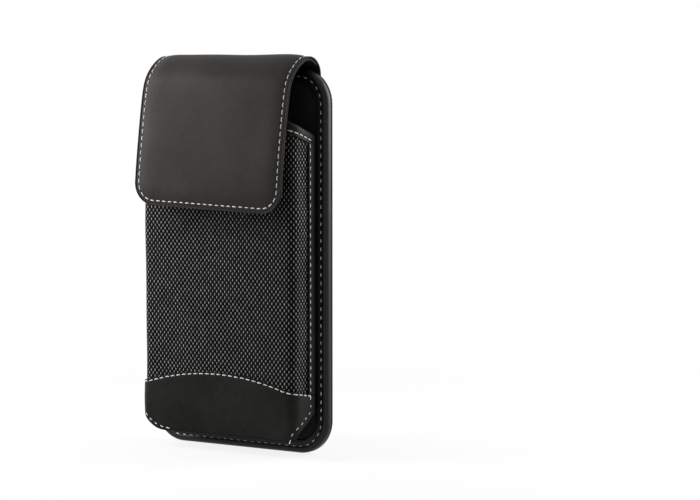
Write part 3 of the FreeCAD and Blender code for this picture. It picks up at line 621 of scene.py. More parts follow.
FLAP_LEATHER_SKIN = leather("flap_leather", (0.0225, 0.0197, 0.0176), (0.0305, 0.0266, 0.0237),
                            pebble=0.75, rough=0.44, bump=0.22, gloss=0.08)
EDGE_LEATHER_SKIN = leather("edge_leather", (0.004, 0.004, 0.004), (0.007, 0.007, 0.0068),
                            pebble=0.6, rough=0.34, bump=0.22, gloss=0.2)
TOE_LEATHER_SKIN = leather("toe_leather", (0.0078, 0.0078, 0.0068), (0.015, 0.015, 0.013),
                           pebble=0.65, rough=0.46, bump=0.25, gloss=0.07)
# Tones: painted highlight on the crowns, painted sheen on the upright floats, the level yarns' own
# near-black, painted shade in the gaps
NYLON = woven("woven_nylon", (0.265, 0.265, 0.265), (0.016, 0.016, 0.0162), (0.0035, 0.0035, 0.0035),
              (0.001, 0.001, 0.001), 1.1, 1.36)
FLAP_LINING_CLOTH = cloth("flap_lining", (0.006, 0.006, 0.006), 0.8)
LINING_CLOTH = cloth("lining_cloth", (0.007, 0.007, 0.007), 0.5)
ELASTIC = cloth("elastic", (0.004, 0.004, 0.004), 0.7)
FOAM = cloth("foam", (0.03, 0.03, 0.03), 1.2)
BOARD = cloth("stiffener_board", (0.02, 0.02, 0.02), 2.0)
# The chrome wire's base colour is painted dark, a painted reflection of the dark surroundings it would
# mirror; the lamps still give it bright highlight lines
CHROME_WIRE_PAINTED_DARK = metal("bright_wire", (0.09, 0.09, 0.093), 0.12)
GATE_STEEL = metal("gate_steel", (0.72, 0.72, 0.71), 0.18)
MAGNET_STEEL = metal("magnet_steel", (0.55, 0.55, 0.56), 0.25)
THREAD = thread("thread")


def wear(thing, material):
    """Gives a piece one material."""
    thing.data.materials.clear()
    thing.data.materials.append(material)
    return thing


# Stitches

def stitch_tree():
    """Stitches at an even pitch along seam lines, each a small arched length of twisted thread."""
    tree = bpy.data.node_groups.new("seam", "GeometryNodeTree")
    tree.interface.new_socket("Seam Line", in_out="INPUT", socket_type="NodeSocketGeometry")
    for label, value in (("Pitch", STITCH_PITCH * MM), ("Stitch Length", STITCH_LENGTH * MM),
                         ("Thread Radius", THREAD_RADIUS * MM), ("Dip", 0.35 * MM), ("Unevenness", 0.05)):
        tree.interface.new_socket(label, in_out="INPUT", socket_type="NodeSocketFloat").default_value = value
    tree.interface.new_socket("Thread", in_out="INPUT", socket_type="NodeSocketMaterial")
    tree.interface.new_socket("Stitches", in_out="OUTPUT", socket_type="NodeSocketGeometry")
    net = Nodes(tree)
    given = net.add("NodeGroupInput").outputs
    half = net.math("MULTIPLY", given["Stitch Length"], 0.5)
    back = net.math("MULTIPLY", half, -1.0)
    sunk = net.math("MULTIPLY", given["Dip"], -1.0)
    ends = [net.add("ShaderNodeCombineXYZ", {"X": x, "Z": sunk}).outputs[0] for x in (back, half)]
    lift = net.math("MULTIPLY", given["Dip"], 0.35)
    handles = [net.add("ShaderNodeCombineXYZ", {"X": net.math("MULTIPLY", x, 0.72), "Z": lift}).outputs[0]
               for x in (back, half)]
    arch = net.add("GeometryNodeCurvePrimitiveBezierSegment",
                   {"Resolution": 5, "Start": ends[0], "Start Handle": handles[0],
                    "End Handle": handles[1], "End": ends[1]})
    ring = net.add("GeometryNodeCurvePrimitiveCircle", {"Resolution": 6, "Radius": given["Thread Radius"]})
    body = net.add("GeometryNodeCurveToMesh", {"Curve": arch.outputs["Curve"],
                                               "Profile Curve": ring.outputs["Curve"], "Fill Caps": True})
    line = net.add("GeometryNodeMeshToCurve", {"Mesh": given["Seam Line"]})
    beat = net.add("GeometryNodeResampleCurve", {"Curve": line.outputs["Curve"], "Length": given["Pitch"]},
                   mode="LENGTH")
    along = net.add("GeometryNodeInputTangent").outputs["Tangent"]
    facing = net.add("GeometryNodeInputNamedAttribute", {"Name": "facing"}, data_type="FLOAT_VECTOR")
    turned = net.add("FunctionNodeAlignRotationToVector", {"Vector": along}, axis="X")
    seated = net.add("FunctionNodeAlignRotationToVector",
                     {"Rotation": turned.outputs[0], "Vector": facing.outputs["Attribute"]}, axis="Z",
                     pivot_axis="X")
    chance = net.add("FunctionNodeRandomValue", {"Seed": 11}, data_type="FLOAT_VECTOR")
    net.feed(chance.inputs[0], (-1.0, -1.0, -1.0))
    net.feed(chance.inputs[1], (1.0, 1.0, 1.0))
    sway = net.add("ShaderNodeVectorMath", {0: chance.outputs[0]}, operation="SCALE")
    net.feed(sway.inputs["Scale"], given["Unevenness"])
    tilt = net.add("FunctionNodeEulerToRotation", {"Euler": sway.outputs[0]})
    swayed = net.add("FunctionNodeRotateRotation",
                     {"Rotation": seated.outputs[0], "Rotate By": tilt.outputs[0]}, rotation_space="LOCAL")
    placed = net.add("GeometryNodeInstanceOnPoints", {"Points": beat.outputs[0], "Instance": body.outputs[0],
                                                      "Rotation": swayed.outputs[0]})
    solid = net.add("GeometryNodeRealizeInstances", {"Geometry": placed.outputs[0]})
    soft = net.add("GeometryNodeSetShadeSmooth", {"Geometry": solid.outputs[0]})
    dyed = net.add("GeometryNodeSetMaterial", {"Geometry": soft.outputs[0], "Material": given["Thread"]})
    net.add("NodeGroupOutput", {"Stitches": dyed.outputs[0]})
    return tree


SEAM_TREE = stitch_tree()


def sew(name, lines, pitch=STITCH_PITCH, radius=THREAD_RADIUS):
    """One mesh of stitches along seam lines, each a list of (point, facing) arrays in millimetres."""
    points, edges, facings = [], [], []
    for line, facing in lines:
        start = len(points)
        points += (np.asarray(line) * MM + HOME).tolist()
        facings += np.asarray(facing).tolist()
        edges += [(start + i, start + i + 1) for i in range(len(line) - 1)]
    mesh = bpy.data.meshes.new(name)
    mesh.from_pydata(points, edges, [])
    attribute = mesh.attributes.new("facing", "FLOAT_VECTOR", "POINT")
    attribute.data.foreach_set("vector", np.array(facings, np.float32).ravel())
    carrier = add_object(name + "_lines", mesh)
    modifier = carrier.modifiers.new("seam", "NODES")
    modifier.node_group = SEAM_TREE
    inputs = [item for item in SEAM_TREE.interface.items_tree if item.in_out == "INPUT"]
    sockets = {item.name: item.identifier for item in inputs}
    modifier[sockets["Pitch"]] = pitch * MM
    modifier[sockets["Thread Radius"]] = radius * MM
    modifier[sockets["Thread"]] = THREAD
    graph = bpy.context.evaluated_depsgraph_get()
    sewn = bpy.data.meshes.new_from_object(carrier.evaluated_get(graph))
    bpy.data.objects.remove(carrier)
    return add_object(name, sewn)


def seam_on(track, s, c, lift):
    """A seam line on a track's outer face."""
    s, c = np.broadcast_arrays(np.asarray(s, float), np.asarray(c, float))
    return track.place(s, c, lift), track.normal(s)


# Flap

LIP_SLANT = 2.4
LIP_RISE = 0.5
FLAP_SHIFT = 0.6
FLAP_TOP_RUN = 52.0
HEM_FLAT_RUN = 12.0
HEM_EASE_RUN = 8.0
FLAP_WAVE = 0.2
FLAP_FULLNESS = 0.25
CURL_DEPTH = 0.7
CURL_REACH = 11.0
BORDER_ROLL = 0.45
LINING_START_RUN = 32.5
LINING_MARGIN = 0.35
STITCH_LIFT = -0.02


class FlapTrack(Track):
    """The flap's track, cut to a lip that rises a little toward its left side."""

    def place(self, s, c, out):
        s, c = np.broadcast_arrays(np.asarray(s, float), np.asarray(c, float))
        turned = np.clip((s - FLAP_TOP_RUN) / (self.length - FLAP_TOP_RUN), 0, 1)
        share = np.clip(0.5 - c / FLAP_WIDTH, 0, 1)
        short = (LIP_RISE + LIP_SLANT * share ** 1.3) * turned
        return super().place(s - short, c + FLAP_SHIFT, out)


FLAP = flap_track()
flap_half = FLAP_WIDTH / 2 + FLAP_SHIFT


def rounded_reach(track, half, corner, margin=0.0):
    """The two edges of a strip whose far end has rounded corners."""
    def reach(s):
        left = track.length - s
        cut = corner - math.sqrt(max(corner ** 2 - (corner - left) ** 2, 0)) if left < corner else 0
        return -half + margin + cut, half - margin - cut
    return reach


def rounded_inset(track, half, corner, start=0.0):
    """Distance to the edge of a strip whose far end has rounded corners."""
    def inset(s, c):
        beside = half - np.abs(c)
        ahead = track.length - s
        inner = corner - np.hypot(np.maximum(corner - beside, 0), max(corner - ahead, 0))
        rounded = np.where((beside < corner) & (ahead < corner), inner, np.minimum(beside, ahead))
        return np.minimum(rounded, s - start)
    return inset


def lip_stations(track, start, corner, step):
    """Lengths along a strip, close together at both ends and round the far corners."""
    arc = track.length - corner * (1 - np.sin(np.linspace(0, math.pi / 2, 14)))
    crowd = np.array((0.7, 0.4, 0.2, 0.06, 0))
    body = near_edge(start, track.length - corner, step)
    body = body[body < track.length - corner]
    return np.unique(np.round(np.concatenate((body, arc, track.length - crowd)), 4))


def past_hem(s):
    """0 on the flat hem, rising to 1 where the flap is free."""
    return np.clip((s - HEM_FLAT_RUN) / HEM_EASE_RUN, 0, 1)


def edge_curl(s, d):
    """How far the flap's face curls in at a distance d from its edge."""
    return CURL_DEPTH * np.clip(1 - d / CURL_REACH, 0, 1) ** 2 * past_hem(s)


def flap_relief(s, c, d):
    """Soft unevenness of the flap's face, pulled in along its seams and rolled down at its border."""
    full = FLAP_WAVE * waves(s, c) * np.clip(d / 12, 0, 1)
    full = full + FLAP_FULLNESS * np.clip((d - FLAP_SEAM) / 4, 0, 1)
    hem_rows = sum(seam_dip(s - (height - HEM_HEIGHT) + 0 * c, c) for height in HEM_SEAMS)
    border = BORDER_ROLL * np.clip(1 - d / FLAP_SEAM, 0, 1) ** 2
    return full * past_hem(s) - edge_curl(s, d) + hem_rows + seam_dip(d - FLAP_SEAM, s + c) - border


flap = sheet("flap_leather_sheet", FLAP, lip_stations(FLAP, 0, FLAP_CORNER, 1.5),
             rounded_reach(FLAP, flap_half, FLAP_CORNER), FLAP_LEATHER,
             rounded_inset(FLAP, flap_half, FLAP_CORNER), flap_relief)
wear(flap, FLAP_LEATHER_SKIN)
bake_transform(flap)
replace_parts(flap, "flap_anchor", "flap_leather")

lining_corner = FLAP_CORNER - LINING_MARGIN
lining = sheet("flap_lining_sheet", FLAP, lip_stations(FLAP, LINING_START_RUN, lining_corner, 1.8),
               rounded_reach(FLAP, flap_half, lining_corner, LINING_MARGIN), FLAP_LINING,
               rounded_inset(FLAP, flap_half - LINING_MARGIN, lining_corner, LINING_START_RUN),
               lift=-FLAP_LEATHER)
wear(lining, FLAP_LINING_CLOTH)
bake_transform(lining)
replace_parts(lining, "flap_lining")


def flap_seam():
    """The line round the flap: up one side, round the lip and back up the other."""
    rest = FLAP_CORNER - FLAP_SEAM
    bottom = HEM_SEAMS[0] - HEM_HEIGHT
    side = np.arange(bottom, FLAP.length - FLAP_CORNER, 1.0)
    turns = np.linspace(0, math.pi / 2, 14)
    arc_s = FLAP.length - FLAP_CORNER + rest * np.sin(turns)
    arc_c = flap_half - FLAP_CORNER + rest * np.cos(turns)
    s = np.concatenate((side, arc_s, arc_s[::-1], side[::-1]))
    c = np.concatenate((np.full(len(side), flap_half - FLAP_SEAM), arc_c, -arc_c[::-1],
                        np.full(len(side), FLAP_SEAM - flap_half)))
    return seam_on(FLAP, s, c, STITCH_LIFT - edge_curl(s, FLAP_SEAM))


stitches = sew("flap_stitches", [flap_seam()])
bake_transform(stitches)

# Belt loop

LOOP = loop_track()
loop_half = LOOP_WIDTH / 2
WEBBING_MARGIN = 0.3
WEBBING_START_RUN = 0.4


def strip_inset(track, half, start=0.0, end=None):
    """Distance to the edge of a plain strip."""
    far = track.length if end is None else end

    def inset(s, c):
        return np.minimum(half - np.abs(c), min(s - start, far - s))
    return inset


def loop_relief(s, c, d):
    """The strap's face: flat, pulled in along its seams."""
    rows = sum(seam_dip(s - (height - LOOP_BOTTOM) + 0 * c, c) for height in LOOP_SEAMS)
    return 0.15 * waves(s, c) * np.clip(d / 8, 0, 1) + seam_dip(d - LOOP_SEAM, s) + rows


loop_end = LOOP.length
loop = sheet("belt_loop_strap", LOOP, near_edge(0, loop_end, 1.2), lambda s: (-loop_half, loop_half),
             LOOP_LEATHER, strip_inset(LOOP, loop_half), loop_relief)
wear(loop, FLAP_LEATHER_SKIN)
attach(loop, "holster")
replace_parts(loop, "belt_loop")

fold_length = math.pi * (LOOP_REAR - HEM_REAR) / 2
loop_lining_end = loop_end - fold_length - (LOOP_TOP - (LOOP_REAR - HEM_REAR) / 2 - HEM_HEIGHT) - 1
webbing_half = loop_half - WEBBING_MARGIN
webbing = sheet("belt_loop_webbing", LOOP, near_edge(WEBBING_START_RUN, loop_lining_end, 2.0),
                lambda s: (-webbing_half, webbing_half), LOOP_LINING,
                strip_inset(LOOP, webbing_half, WEBBING_START_RUN, loop_lining_end), lift=-LOOP_LEATHER)
wear(webbing, FLAP_LINING_CLOTH)
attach(webbing, "holster")
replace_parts(webbing, "belt_loop_lining")

side_run = np.arange(LOOP_SEAMS[0] - LOOP_BOTTOM, loop_end - 8.5, 1.0)
loop_lines = [seam_on(LOOP, side_run, sign * (loop_half - LOOP_SEAM), STITCH_LIFT) for sign in (-1, 1)]
row = np.arange(-loop_half + LOOP_SEAM, loop_half - LOOP_SEAM + 0.01, 1.0)
loop_lines += [seam_on(LOOP, height - LOOP_BOTTOM, row, STITCH_LIFT) for height in LOOP_SEAMS]
hem_row = np.arange(loop_half + 1.2, flap_half - FLAP_SEAM, 0.8)
for height in HEM_SEAMS:
    loop_lines += [seam_on(FLAP, height - HEM_HEIGHT, sign * hem_row, STITCH_LIFT) for sign in (-1, 1)]

# Pouch

POUCH = pouch_track()
WEAVE_RIPPLE = 0.35
WEAVE_FULLNESS = 0.35
TOE_FULLNESS = 0.3
TOE_WAVE = 0.2
middle = POUCH.length / 2


def from_rear(s):
    """Length along the pouch from the nearer wall's rear edge."""
    return np.minimum(s, POUCH.length - s)


FOLD_START = (POUCH.length - 2 * (POUCH_REAR_HALF - POUCH_TAPER - POUCH_FOLD)) / 2


def mouth_height(s):
    """Height of the pouch's mouth, level in front and falling from its folds along the walls."""
    share = np.clip(1 - from_rear(s) / FOLD_START, 0, 1)
    return MOUTH_FRONT_HEIGHT - MOUTH_FALL * share


def toe_top(s):
    """Height of the toe cap's arched edge."""
    half = middle - FOLD_START
    rise = TOE_PEAK_HEIGHT - TOE_FOLD_HEIGHT
    radius = (half ** 2 + rise ** 2) / (2 * rise)
    away = np.minimum(np.abs(s - middle), half)
    arch = TOE_PEAK_HEIGHT - radius + np.sqrt(radius ** 2 - away ** 2)
    share = np.clip(1 - from_rear(s) / FOLD_START, 0, 1)
    return arch - (TOE_FOLD_HEIGHT - TOE_REAR_HEIGHT) * share


# Points on the edge of each open corner: length from the wall's rear edge, and height
RIGHT_CUT = ((0, 17.2), (2, 16.5), (5.8, 13.6), (10.8, 10.6), (12.2, 9.3), (12.9, 8.1), (13.2, 6.9),
             (13.4, TOE_BOTTOM))
LEFT_CUT = ((0, 17.0), (8, 16.2), (11.5, 14.8), (14, 12.6), (16.5, 10.2), (19, 8.1), (21.5, 6.8),
            (24, 6.2), (26.5, TOE_BOTTOM))


def toe_foot(s):
    """Height of the toe cap's lower edge: level in front, cut up to the rear along each wall."""
    left = np.interp(from_rear(s), *zip(*LEFT_CUT))
    right = np.interp(from_rear(s), *zip(*RIGHT_CUT))
    return np.where(s < middle, left, right)


def wall_inset(s, c):
    """Distance to the edge of the woven wall."""
    return np.minimum(np.minimum(mouth_height(s) - c, c - weave_foot(s)), min(s, POUCH.length - s))


def weave_foot(s):
    """Height of the woven wrap's lower edge, just inside the toe cap."""
    return np.maximum(toe_foot(s) + 1.0, 7.4)


def weave_relief(s, c, d):
    """The woven face: slightly full between its edges, with the soft ripple of heavy cloth."""
    beside = np.clip(POUCH.mix(POUCH.points, s)[..., 0] / POUCH_REAR_HALF, -1, 1)
    ripple = WEAVE_RIPPLE * waves(s * 0.8, c * 0.8) * np.clip(d / 9, 0, 1)
    return ripple + WEAVE_FULLNESS * np.cos(beside * math.pi / 2) * np.clip(d / 20, 0, 1)


wrap_stations = near_edge(0, POUCH.length, 0.8)
wrap = sheet("pouch_weave_wrap", POUCH, wrap_stations,
             lambda s: (float(weave_foot(s)), float(mouth_height(s))), WEAVE_THICKNESS, wall_inset,
             weave_relief, step=2.0, upright=True)
wear(wrap, NYLON)
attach(wrap, "holster")
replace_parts(wrap, "pouch_weave")
(MOUTH_FRONT_HEIGHT - float(weave_foot(middle))) * MM

lining_rear = WALL_REAR - span("pouch_lining")[1][1]


def pouch_lining_inset(s, c):
    """Distance to the edge of the pouch's inner lining."""
    ends = min(s - lining_rear, POUCH.length - lining_rear - s)
    return np.minimum(np.minimum(mouth_height(s) - POUCH_LINING_MARGIN - c, c - pouch_lining_foot(s)), ends)


def pouch_lining_foot(s):
    """Height of the lining's lower edge."""
    return weave_foot(s) + POUCH_LINING_MARGIN


pouch_lining = sheet("pouch_lining_sheet", POUCH, near_edge(lining_rear, POUCH.length - lining_rear, 0.9),
                     lambda s: (float(pouch_lining_foot(s)), float(mouth_height(s)) - POUCH_LINING_MARGIN),
                     POUCH_LINING, pouch_lining_inset, lift=-WEAVE_THICKNESS, step=4.0, upright=True)
wear(pouch_lining, LINING_CLOTH)
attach(pouch_lining, "holster")
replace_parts(pouch_lining, "pouch_lining")
(MOUTH_FRONT_HEIGHT - float(weave_foot(middle))) * MM


def toe_inset(s, c):
    """Distance to the edge of the toe cap."""
    return np.minimum(np.minimum(toe_top(s) - c, c - toe_foot(s)), min(s, POUCH.length - s))


def toe_relief(s, c, d):
    """The toe's face, full in the middle, pulled in along its seams and tucked under at the foot."""
    tuck = np.clip(TOE_EDGE_ROUND - (c - toe_foot(s)), 0, TOE_EDGE_ROUND)
    under = tuck ** 2 / (2 * TOE_EDGE_ROUND)
    ahead_of_cuts = from_rear(s) > LEFT_CUT[-1][0]
    seam = seam_dip(toe_top(s) - c - TOE_SEAM, s)
    full = TOE_FULLNESS * np.clip(d / 10, 0, 1) + TOE_WAVE * waves(s, c) * np.clip(d / 8, 0, 1)
    return full + seam - under * ahead_of_cuts


toe = sheet("toe_cap_leather", POUCH, wrap_stations, lambda s: (float(toe_foot(s)), float(toe_top(s))),
            TOE_LEATHER, toe_inset, toe_relief, lift=TOE_LEATHER, step=1.0)
wear(toe, TOE_LEATHER_SKIN)
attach(toe, "holster")

floor_track = Track(np.column_stack((np.zeros(40), np.linspace(POUCH_FRONT + 0.2, BINDING_LEATHER, 40),
                                     np.full(40, TOE_BOTTOM))), (1, 0, 0))


def floor_inset(s, c):
    """Distance to the edge of the toe's floor, which is cut short under the open left corner."""
    return np.minimum(np.minimum(c + FLOOR_LEFT, FLOOR_HALF - c), min(s, floor_track.length - s))


floor = sheet("toe_floor_leather", floor_track, near_edge(0, floor_track.length, 2.0),
              lambda s: (-FLOOR_LEFT, FLOOR_HALF), TOE_LEATHER, floor_inset, step=4.0)
wear(floor, TOE_LEATHER_SKIN)
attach(floor, "holster")
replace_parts(floor, "toe_cap")

# Mouth binding, a leather fold that runs along the mouth

mouth_run = near_edge(0.05, POUCH.length - 0.05, 1.1)


def fold_section(i):
    """A U over the mouth's edge, with a rolled top and a seam pulled into its outer leg."""
    s = mouth_run[i]
    dip = float(seam_dip(0.0, s))
    top = MOUTH_LEATHER * 0.9
    outer = [(MOUTH_LEATHER, -MOUTH_BAND), (MOUTH_LEATHER + 0.05, -MOUTH_BAND + 1.2),
             (MOUTH_LEATHER + dip * 0.4, -MOUTH_SEAM - 0.5), (MOUTH_LEATHER + dip, -MOUTH_SEAM),
             (MOUTH_LEATHER + dip * 0.4, -MOUTH_SEAM + 0.5), (MOUTH_LEATHER + 0.06, -MOUTH_SEAM + 1.2)]
    angles = np.linspace(0, math.pi, 9)
    centre = -POUCH_WALL / 2
    half = (2 * MOUTH_LEATHER + POUCH_WALL) / 2
    crown = [(centre + half * math.cos(a), -0.9 + (0.9 + top) * math.sin(a)) for a in angles]
    inner = [(centre - half, -MOUTH_BAND / 2), (centre - half, -MOUTH_BAND)]
    return cut_edge_profile(outer + crown + inner, MOUTH_LEATHER)


mouth_edge = POUCH.place(mouth_run, mouth_height(mouth_run), 0.0)
mouth = swept("mouth_binding_leather", mouth_edge, POUCH.normal(mouth_run),
              [np.array((0, 0, 1.0))] * len(mouth_run), fold_section, False)
wear(mouth, TOE_LEATHER_SKIN)
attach(mouth, "holster")
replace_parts(mouth, "mouth_binding")

# Wall edgings


def edging(name, sign):
    """Leather folded over one wall's rear edge, between toe cap and mouth binding."""
    heights = near_edge(TOE_REAR_HEIGHT + 0.3, MOUTH_FRONT_HEIGHT - MOUTH_FALL - MOUTH_BAND + 0.4, 1.1)
    start = POUCH.length if sign > 0 else 0.0
    out = POUCH.normal(start)
    rear = np.array((0, 1.0, 0))
    outs = [out] * len(heights)
    ups = [rear] * len(heights)
    origins = [POUCH.place(start, height, 0.0) for height in heights]

    def section(i):
        dip = float(seam_dip(0.0, heights[i]))
        e = EDGING_LEATHER
        line = [(e, -EDGING_BAND), (e + 0.05, -EDGING_BAND + 0.6), (e + dip * 0.4, -EDGING_SEAM - 0.5),
                (e + dip, -EDGING_SEAM), (e + dip * 0.4, -EDGING_SEAM + 0.5), (e + 0.04, -0.5),
                (e * 0.8, 0.35), (e * 0.3, e * 0.9), (-0.4, e), (-WEAVE_THICKNESS, e)]
        return cut_edge_profile(line, e * 0.9)

    strip = swept(name, origins, outs, ups, section, False)
    wear(strip, TOE_LEATHER_SKIN)
    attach(strip, "holster")
    return strip


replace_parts(edging("wall_edging_right_leather", 1), "wall_edging_right")
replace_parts(edging("wall_edging_left_leather", -1), "wall_edging_left")

# Pouch seams

lift_off = TOE_LEATHER + 0.02
front_run = np.arange(EDGING_SEAM + 0.4, POUCH.length - EDGING_SEAM - 0.4, 0.8)
pouch_lines = [seam_on(POUCH, front_run, toe_top(front_run) - TOE_SEAM, lift_off)]
mouth_line = np.arange(EDGING_SEAM, POUCH.length - EDGING_SEAM, 0.8)
pouch_lines.append(seam_on(POUCH, mouth_line, mouth_height(mouth_line) - MOUTH_SEAM, MOUTH_LEATHER + 0.02))
RIGHT_SEAM = ((EDGING_SEAM + 0.4, 24.6), (EDGING_SEAM + 0.2, 19.4), (4.6, 18.3), (13.1, 12.1),
              (14.5, 10.4), (15.3, 9.0), (15.7, 7.6), (15.8, 6.5))
LEFT_SEAM = ((EDGING_SEAM + 0.4, 24.6), (EDGING_SEAM + 0.2, 19.4), (4.8, 18.6), (8.5, 17.7), (12.3, 16.0),
             (15.0, 13.8), (17.5, 11.4), (20.0, 9.5), (22.5, 8.3), (25.0, 7.7), (28.0, 7.3))
for end, sign, cut in ((0.0, 1, LEFT_SEAM), (POUCH.length, -1, RIGHT_SEAM)):
    rise = np.arange(TOE_REAR_HEIGHT - TOE_SEAM, MOUTH_FRONT_HEIGHT - MOUTH_FALL - MOUTH_BAND + 1, 0.8)
    pouch_lines.append(seam_on(POUCH, end + sign * EDGING_SEAM, rise, EDGING_LEATHER + 0.04))
    path = even(np.array(cut, float), 0.6)
    pouch_lines.append(seam_on(POUCH, end + sign * path[:, 0], path[:, 1], lift_off))


# Back panel

def panel_frames(step):
    """Frames round the back panel's edge, seen from the rear as a rounded rectangle."""
    half, corner = PANEL_WIDTH / 2, PANEL_CORNER
    points, outs = [], []
    foot = PANEL_FOOT + corner
    centres = [(half - corner, PANEL_HEIGHT - corner, 0), (corner - half, PANEL_HEIGHT - corner, 90),
               (corner - half, foot, 180), (half - corner, foot, 270)]
    for k, (x, z, start) in enumerate(centres):
        for angle in np.linspace(start, start + 90, 19):
            turn = math.radians(angle)
            outs.append((math.cos(turn), 0, math.sin(turn)))
            points.append((x + corner * math.cos(turn), 0, z + corner * math.sin(turn)))
        following = centres[(k + 1) % 4]
        turn = math.radians(start + 90)
        end = (following[0] + corner * math.cos(turn), 0, following[1] + corner * math.sin(turn))
        count = round(math.dist(points[-1], end) / step)
        last = points[-1]
        for share in np.linspace(0, 1, count + 1)[1:-1]:
            points.append(tuple(np.array(last) + share * (np.array(end) - np.array(last))))
            outs.append((math.cos(turn), 0, math.sin(turn)))
    return np.array(points), np.array(outs)


panel_points, panel_outs = panel_frames(1.0)
panel_run = np.concatenate(([0], np.cumsum(np.linalg.norm(np.diff(panel_points, axis=0), axis=1))))


def binding_section(i):
    """The binding from its front inner edge round the side, with its groove, to its rear inner edge."""
    dip = float(seam_dip(0.0, panel_run[i]))
    full = 0.1 + 0.08 * float(waves(panel_run[i], 3.0))
    r = BINDING_ROUND
    rear = PANEL_THICKNESS
    front_leg = [(-BINDING_WIDTH, 0.0), (-BINDING_WIDTH + 0.9, -full), (-PANEL_SEAM - 0.6, -dip * 0.35),
                 (-PANEL_SEAM, -dip), (-PANEL_SEAM + 0.6, -dip * 0.35), (-r - 0.4, -full * 0.5)]
    front_bend = [(-r + r * math.sin(a), r - r * math.cos(a)) for a in np.linspace(0.1, math.pi / 2, 7)]
    groove = [(0.0, GROOVE_FROM_FRONT - GROOVE_WIDTH), (-0.08, GROOVE_FROM_FRONT - 0.6 * GROOVE_WIDTH),
              (-GROOVE_DEPTH, GROOVE_FROM_FRONT - 0.2 * GROOVE_WIDTH),
              (-GROOVE_DEPTH, GROOVE_FROM_FRONT + 0.2 * GROOVE_WIDTH),
              (-0.1, GROOVE_FROM_FRONT + 0.6 * GROOVE_WIDTH)]
    small = rear - GROOVE_FROM_FRONT - 0.6 * GROOVE_WIDTH
    rear_bend = [(-small + small * math.cos(a), rear - small + small * math.sin(a))
                 for a in np.linspace(0.1, math.pi / 2 - 0.05, 6)]
    rear_leg = [(-small - 0.5, rear + full * 0.5), (-PANEL_SEAM + 0.6, rear + dip * 0.35),
                (-PANEL_SEAM, rear + dip), (-PANEL_SEAM - 0.6, rear + dip * 0.35),
                (-BINDING_WIDTH + 0.9, rear + full), (-BINDING_WIDTH, rear)]
    line = np.array(front_leg + front_bend + groove + rear_bend + rear_leg)
    return cut_edge_profile(line, BINDING_LEATHER * 0.85)


depth_axis = [np.array((0, 1.0, 0))] * len(panel_points)
binding = swept("panel_binding_leather", panel_points, panel_outs, depth_axis, binding_section, True)
wear(binding, EDGE_LEATHER_SKIN)
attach(binding, "holster")
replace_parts(binding, "panel_binding")


def panel_seam(depth, facing):
    """The closed seam round the panel on one face."""
    line = panel_points - PANEL_SEAM * panel_outs + np.array((0, depth, 0))
    return np.concatenate((line, line[:1])), np.tile(facing, (len(line) + 1, 1))


panel_lines = [panel_seam(0.1, (0, -1.0, 0)), panel_seam(PANEL_THICKNESS - 0.06, (0, 1.0, 0))]


COVER_OVERLAP = 2.2
COVER_THICKNESS = 0.65
FOAM_FULLNESS = 0.75
COVER_WAVE = 0.12


def rear_cover_mesh():
    """The rear face's woven cover: a grid over foam, fullest in the middle of each field."""
    margin = BINDING_WIDTH - COVER_OVERLAP
    half = PANEL_WIDTH / 2 - margin
    corner = PANEL_CORNER - margin
    low, high = PANEL_FOOT + margin, PANEL_HEIGHT - margin
    xs = np.linspace(-half, half, 61)
    zs = np.linspace(low, high, 111)
    x, z = np.meshgrid(xs, zs)
    beside = np.maximum(np.abs(x) - (half - corner), 0)
    above = np.maximum(np.abs(z - (low + high) / 2) - ((high - low) / 2 - corner), 0)
    reach = np.hypot(beside, above)
    scale = np.where(reach > corner, corner / np.maximum(reach, 1e-6), 1)
    x = np.where(beside > 0, np.sign(x) * (half - corner + beside * scale), x)
    centre = (low + high) / 2
    z = np.where(above > 0, centre + np.sign(z - centre) * ((high - low) / 2 - corner + above * scale), z)
    d = np.minimum(np.minimum(half - np.abs(x), z - low), high - z)
    full = FOAM_FULLNESS * (1 - np.exp(-np.clip(d - 1.5, 0, None) / 3.5))
    full = full + COVER_WAVE * waves(x, z) * np.clip(d / 10, 0, 1)
    beside_loop = np.clip((np.abs(x) - loop_half + 1) / 3, 0, 1)
    below_loop = np.clip((LOOP_BOTTOM - z - 0.5) / 3, 0, 1)
    under_hem = np.clip((HEM_HEIGHT - z - 0.5) / 3, 0, 1) + np.clip((np.abs(x) - flap_half) / 2, 0, 1)
    free = np.clip(np.maximum(beside_loop, below_loop), 0, 1) * np.clip(under_hem, 0, 1)
    y = COVER_REAR + full * free * 0.9
    outer = np.stack((x, y, z), axis=-1).reshape(-1, 3)
    inner = np.stack((x, np.full_like(y, COVER_REAR - COVER_THICKNESS), z), axis=-1).reshape(-1, 3)
    rows, columns = x.shape
    faces = grid_faces(rows, columns) + grid_faces(rows, columns, rows * columns, True)
    rim = [i for i in range(columns)] + [columns * (i + 1) - 1 for i in range(1, rows)]
    rim += [columns * (rows - 1) + i for i in range(columns - 2, -1, -1)]
    rim += [columns * i for i in range(rows - 2, 0, -1)]
    for first, second in zip(rim, rim[1:] + rim[:1]):
        faces.append((first, second, second + rows * columns, first + rows * columns))
    places = np.stack((x, z), axis=-1).reshape(-1, 2)
    points = np.concatenate((outer, inner))
    return make_object("rear_cover_cloth", points, faces, np.concatenate((places, places)))


rear_cover = rear_cover_mesh()
wear(rear_cover, NYLON)
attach(rear_cover, "holster")
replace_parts(rear_cover, "rear_cover")

for stitches in (sew("holster_stitches", loop_lines + pouch_lines),
                 sew("panel_stitches", panel_lines, PANEL_PITCH, PANEL_THREAD_RADIUS)):
    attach(stitches, "holster")

# Split ring

RING_LEAN = math.radians(15)
RING_CROSSING = math.radians(315)
RING_END = math.radians(672)
RING_BAND = 1.35
RING_STRAND = 0.9
STRAND_GAP = 0.06
STRAND_ROUND = 0.6
RING_CLEARANCE = 0.1


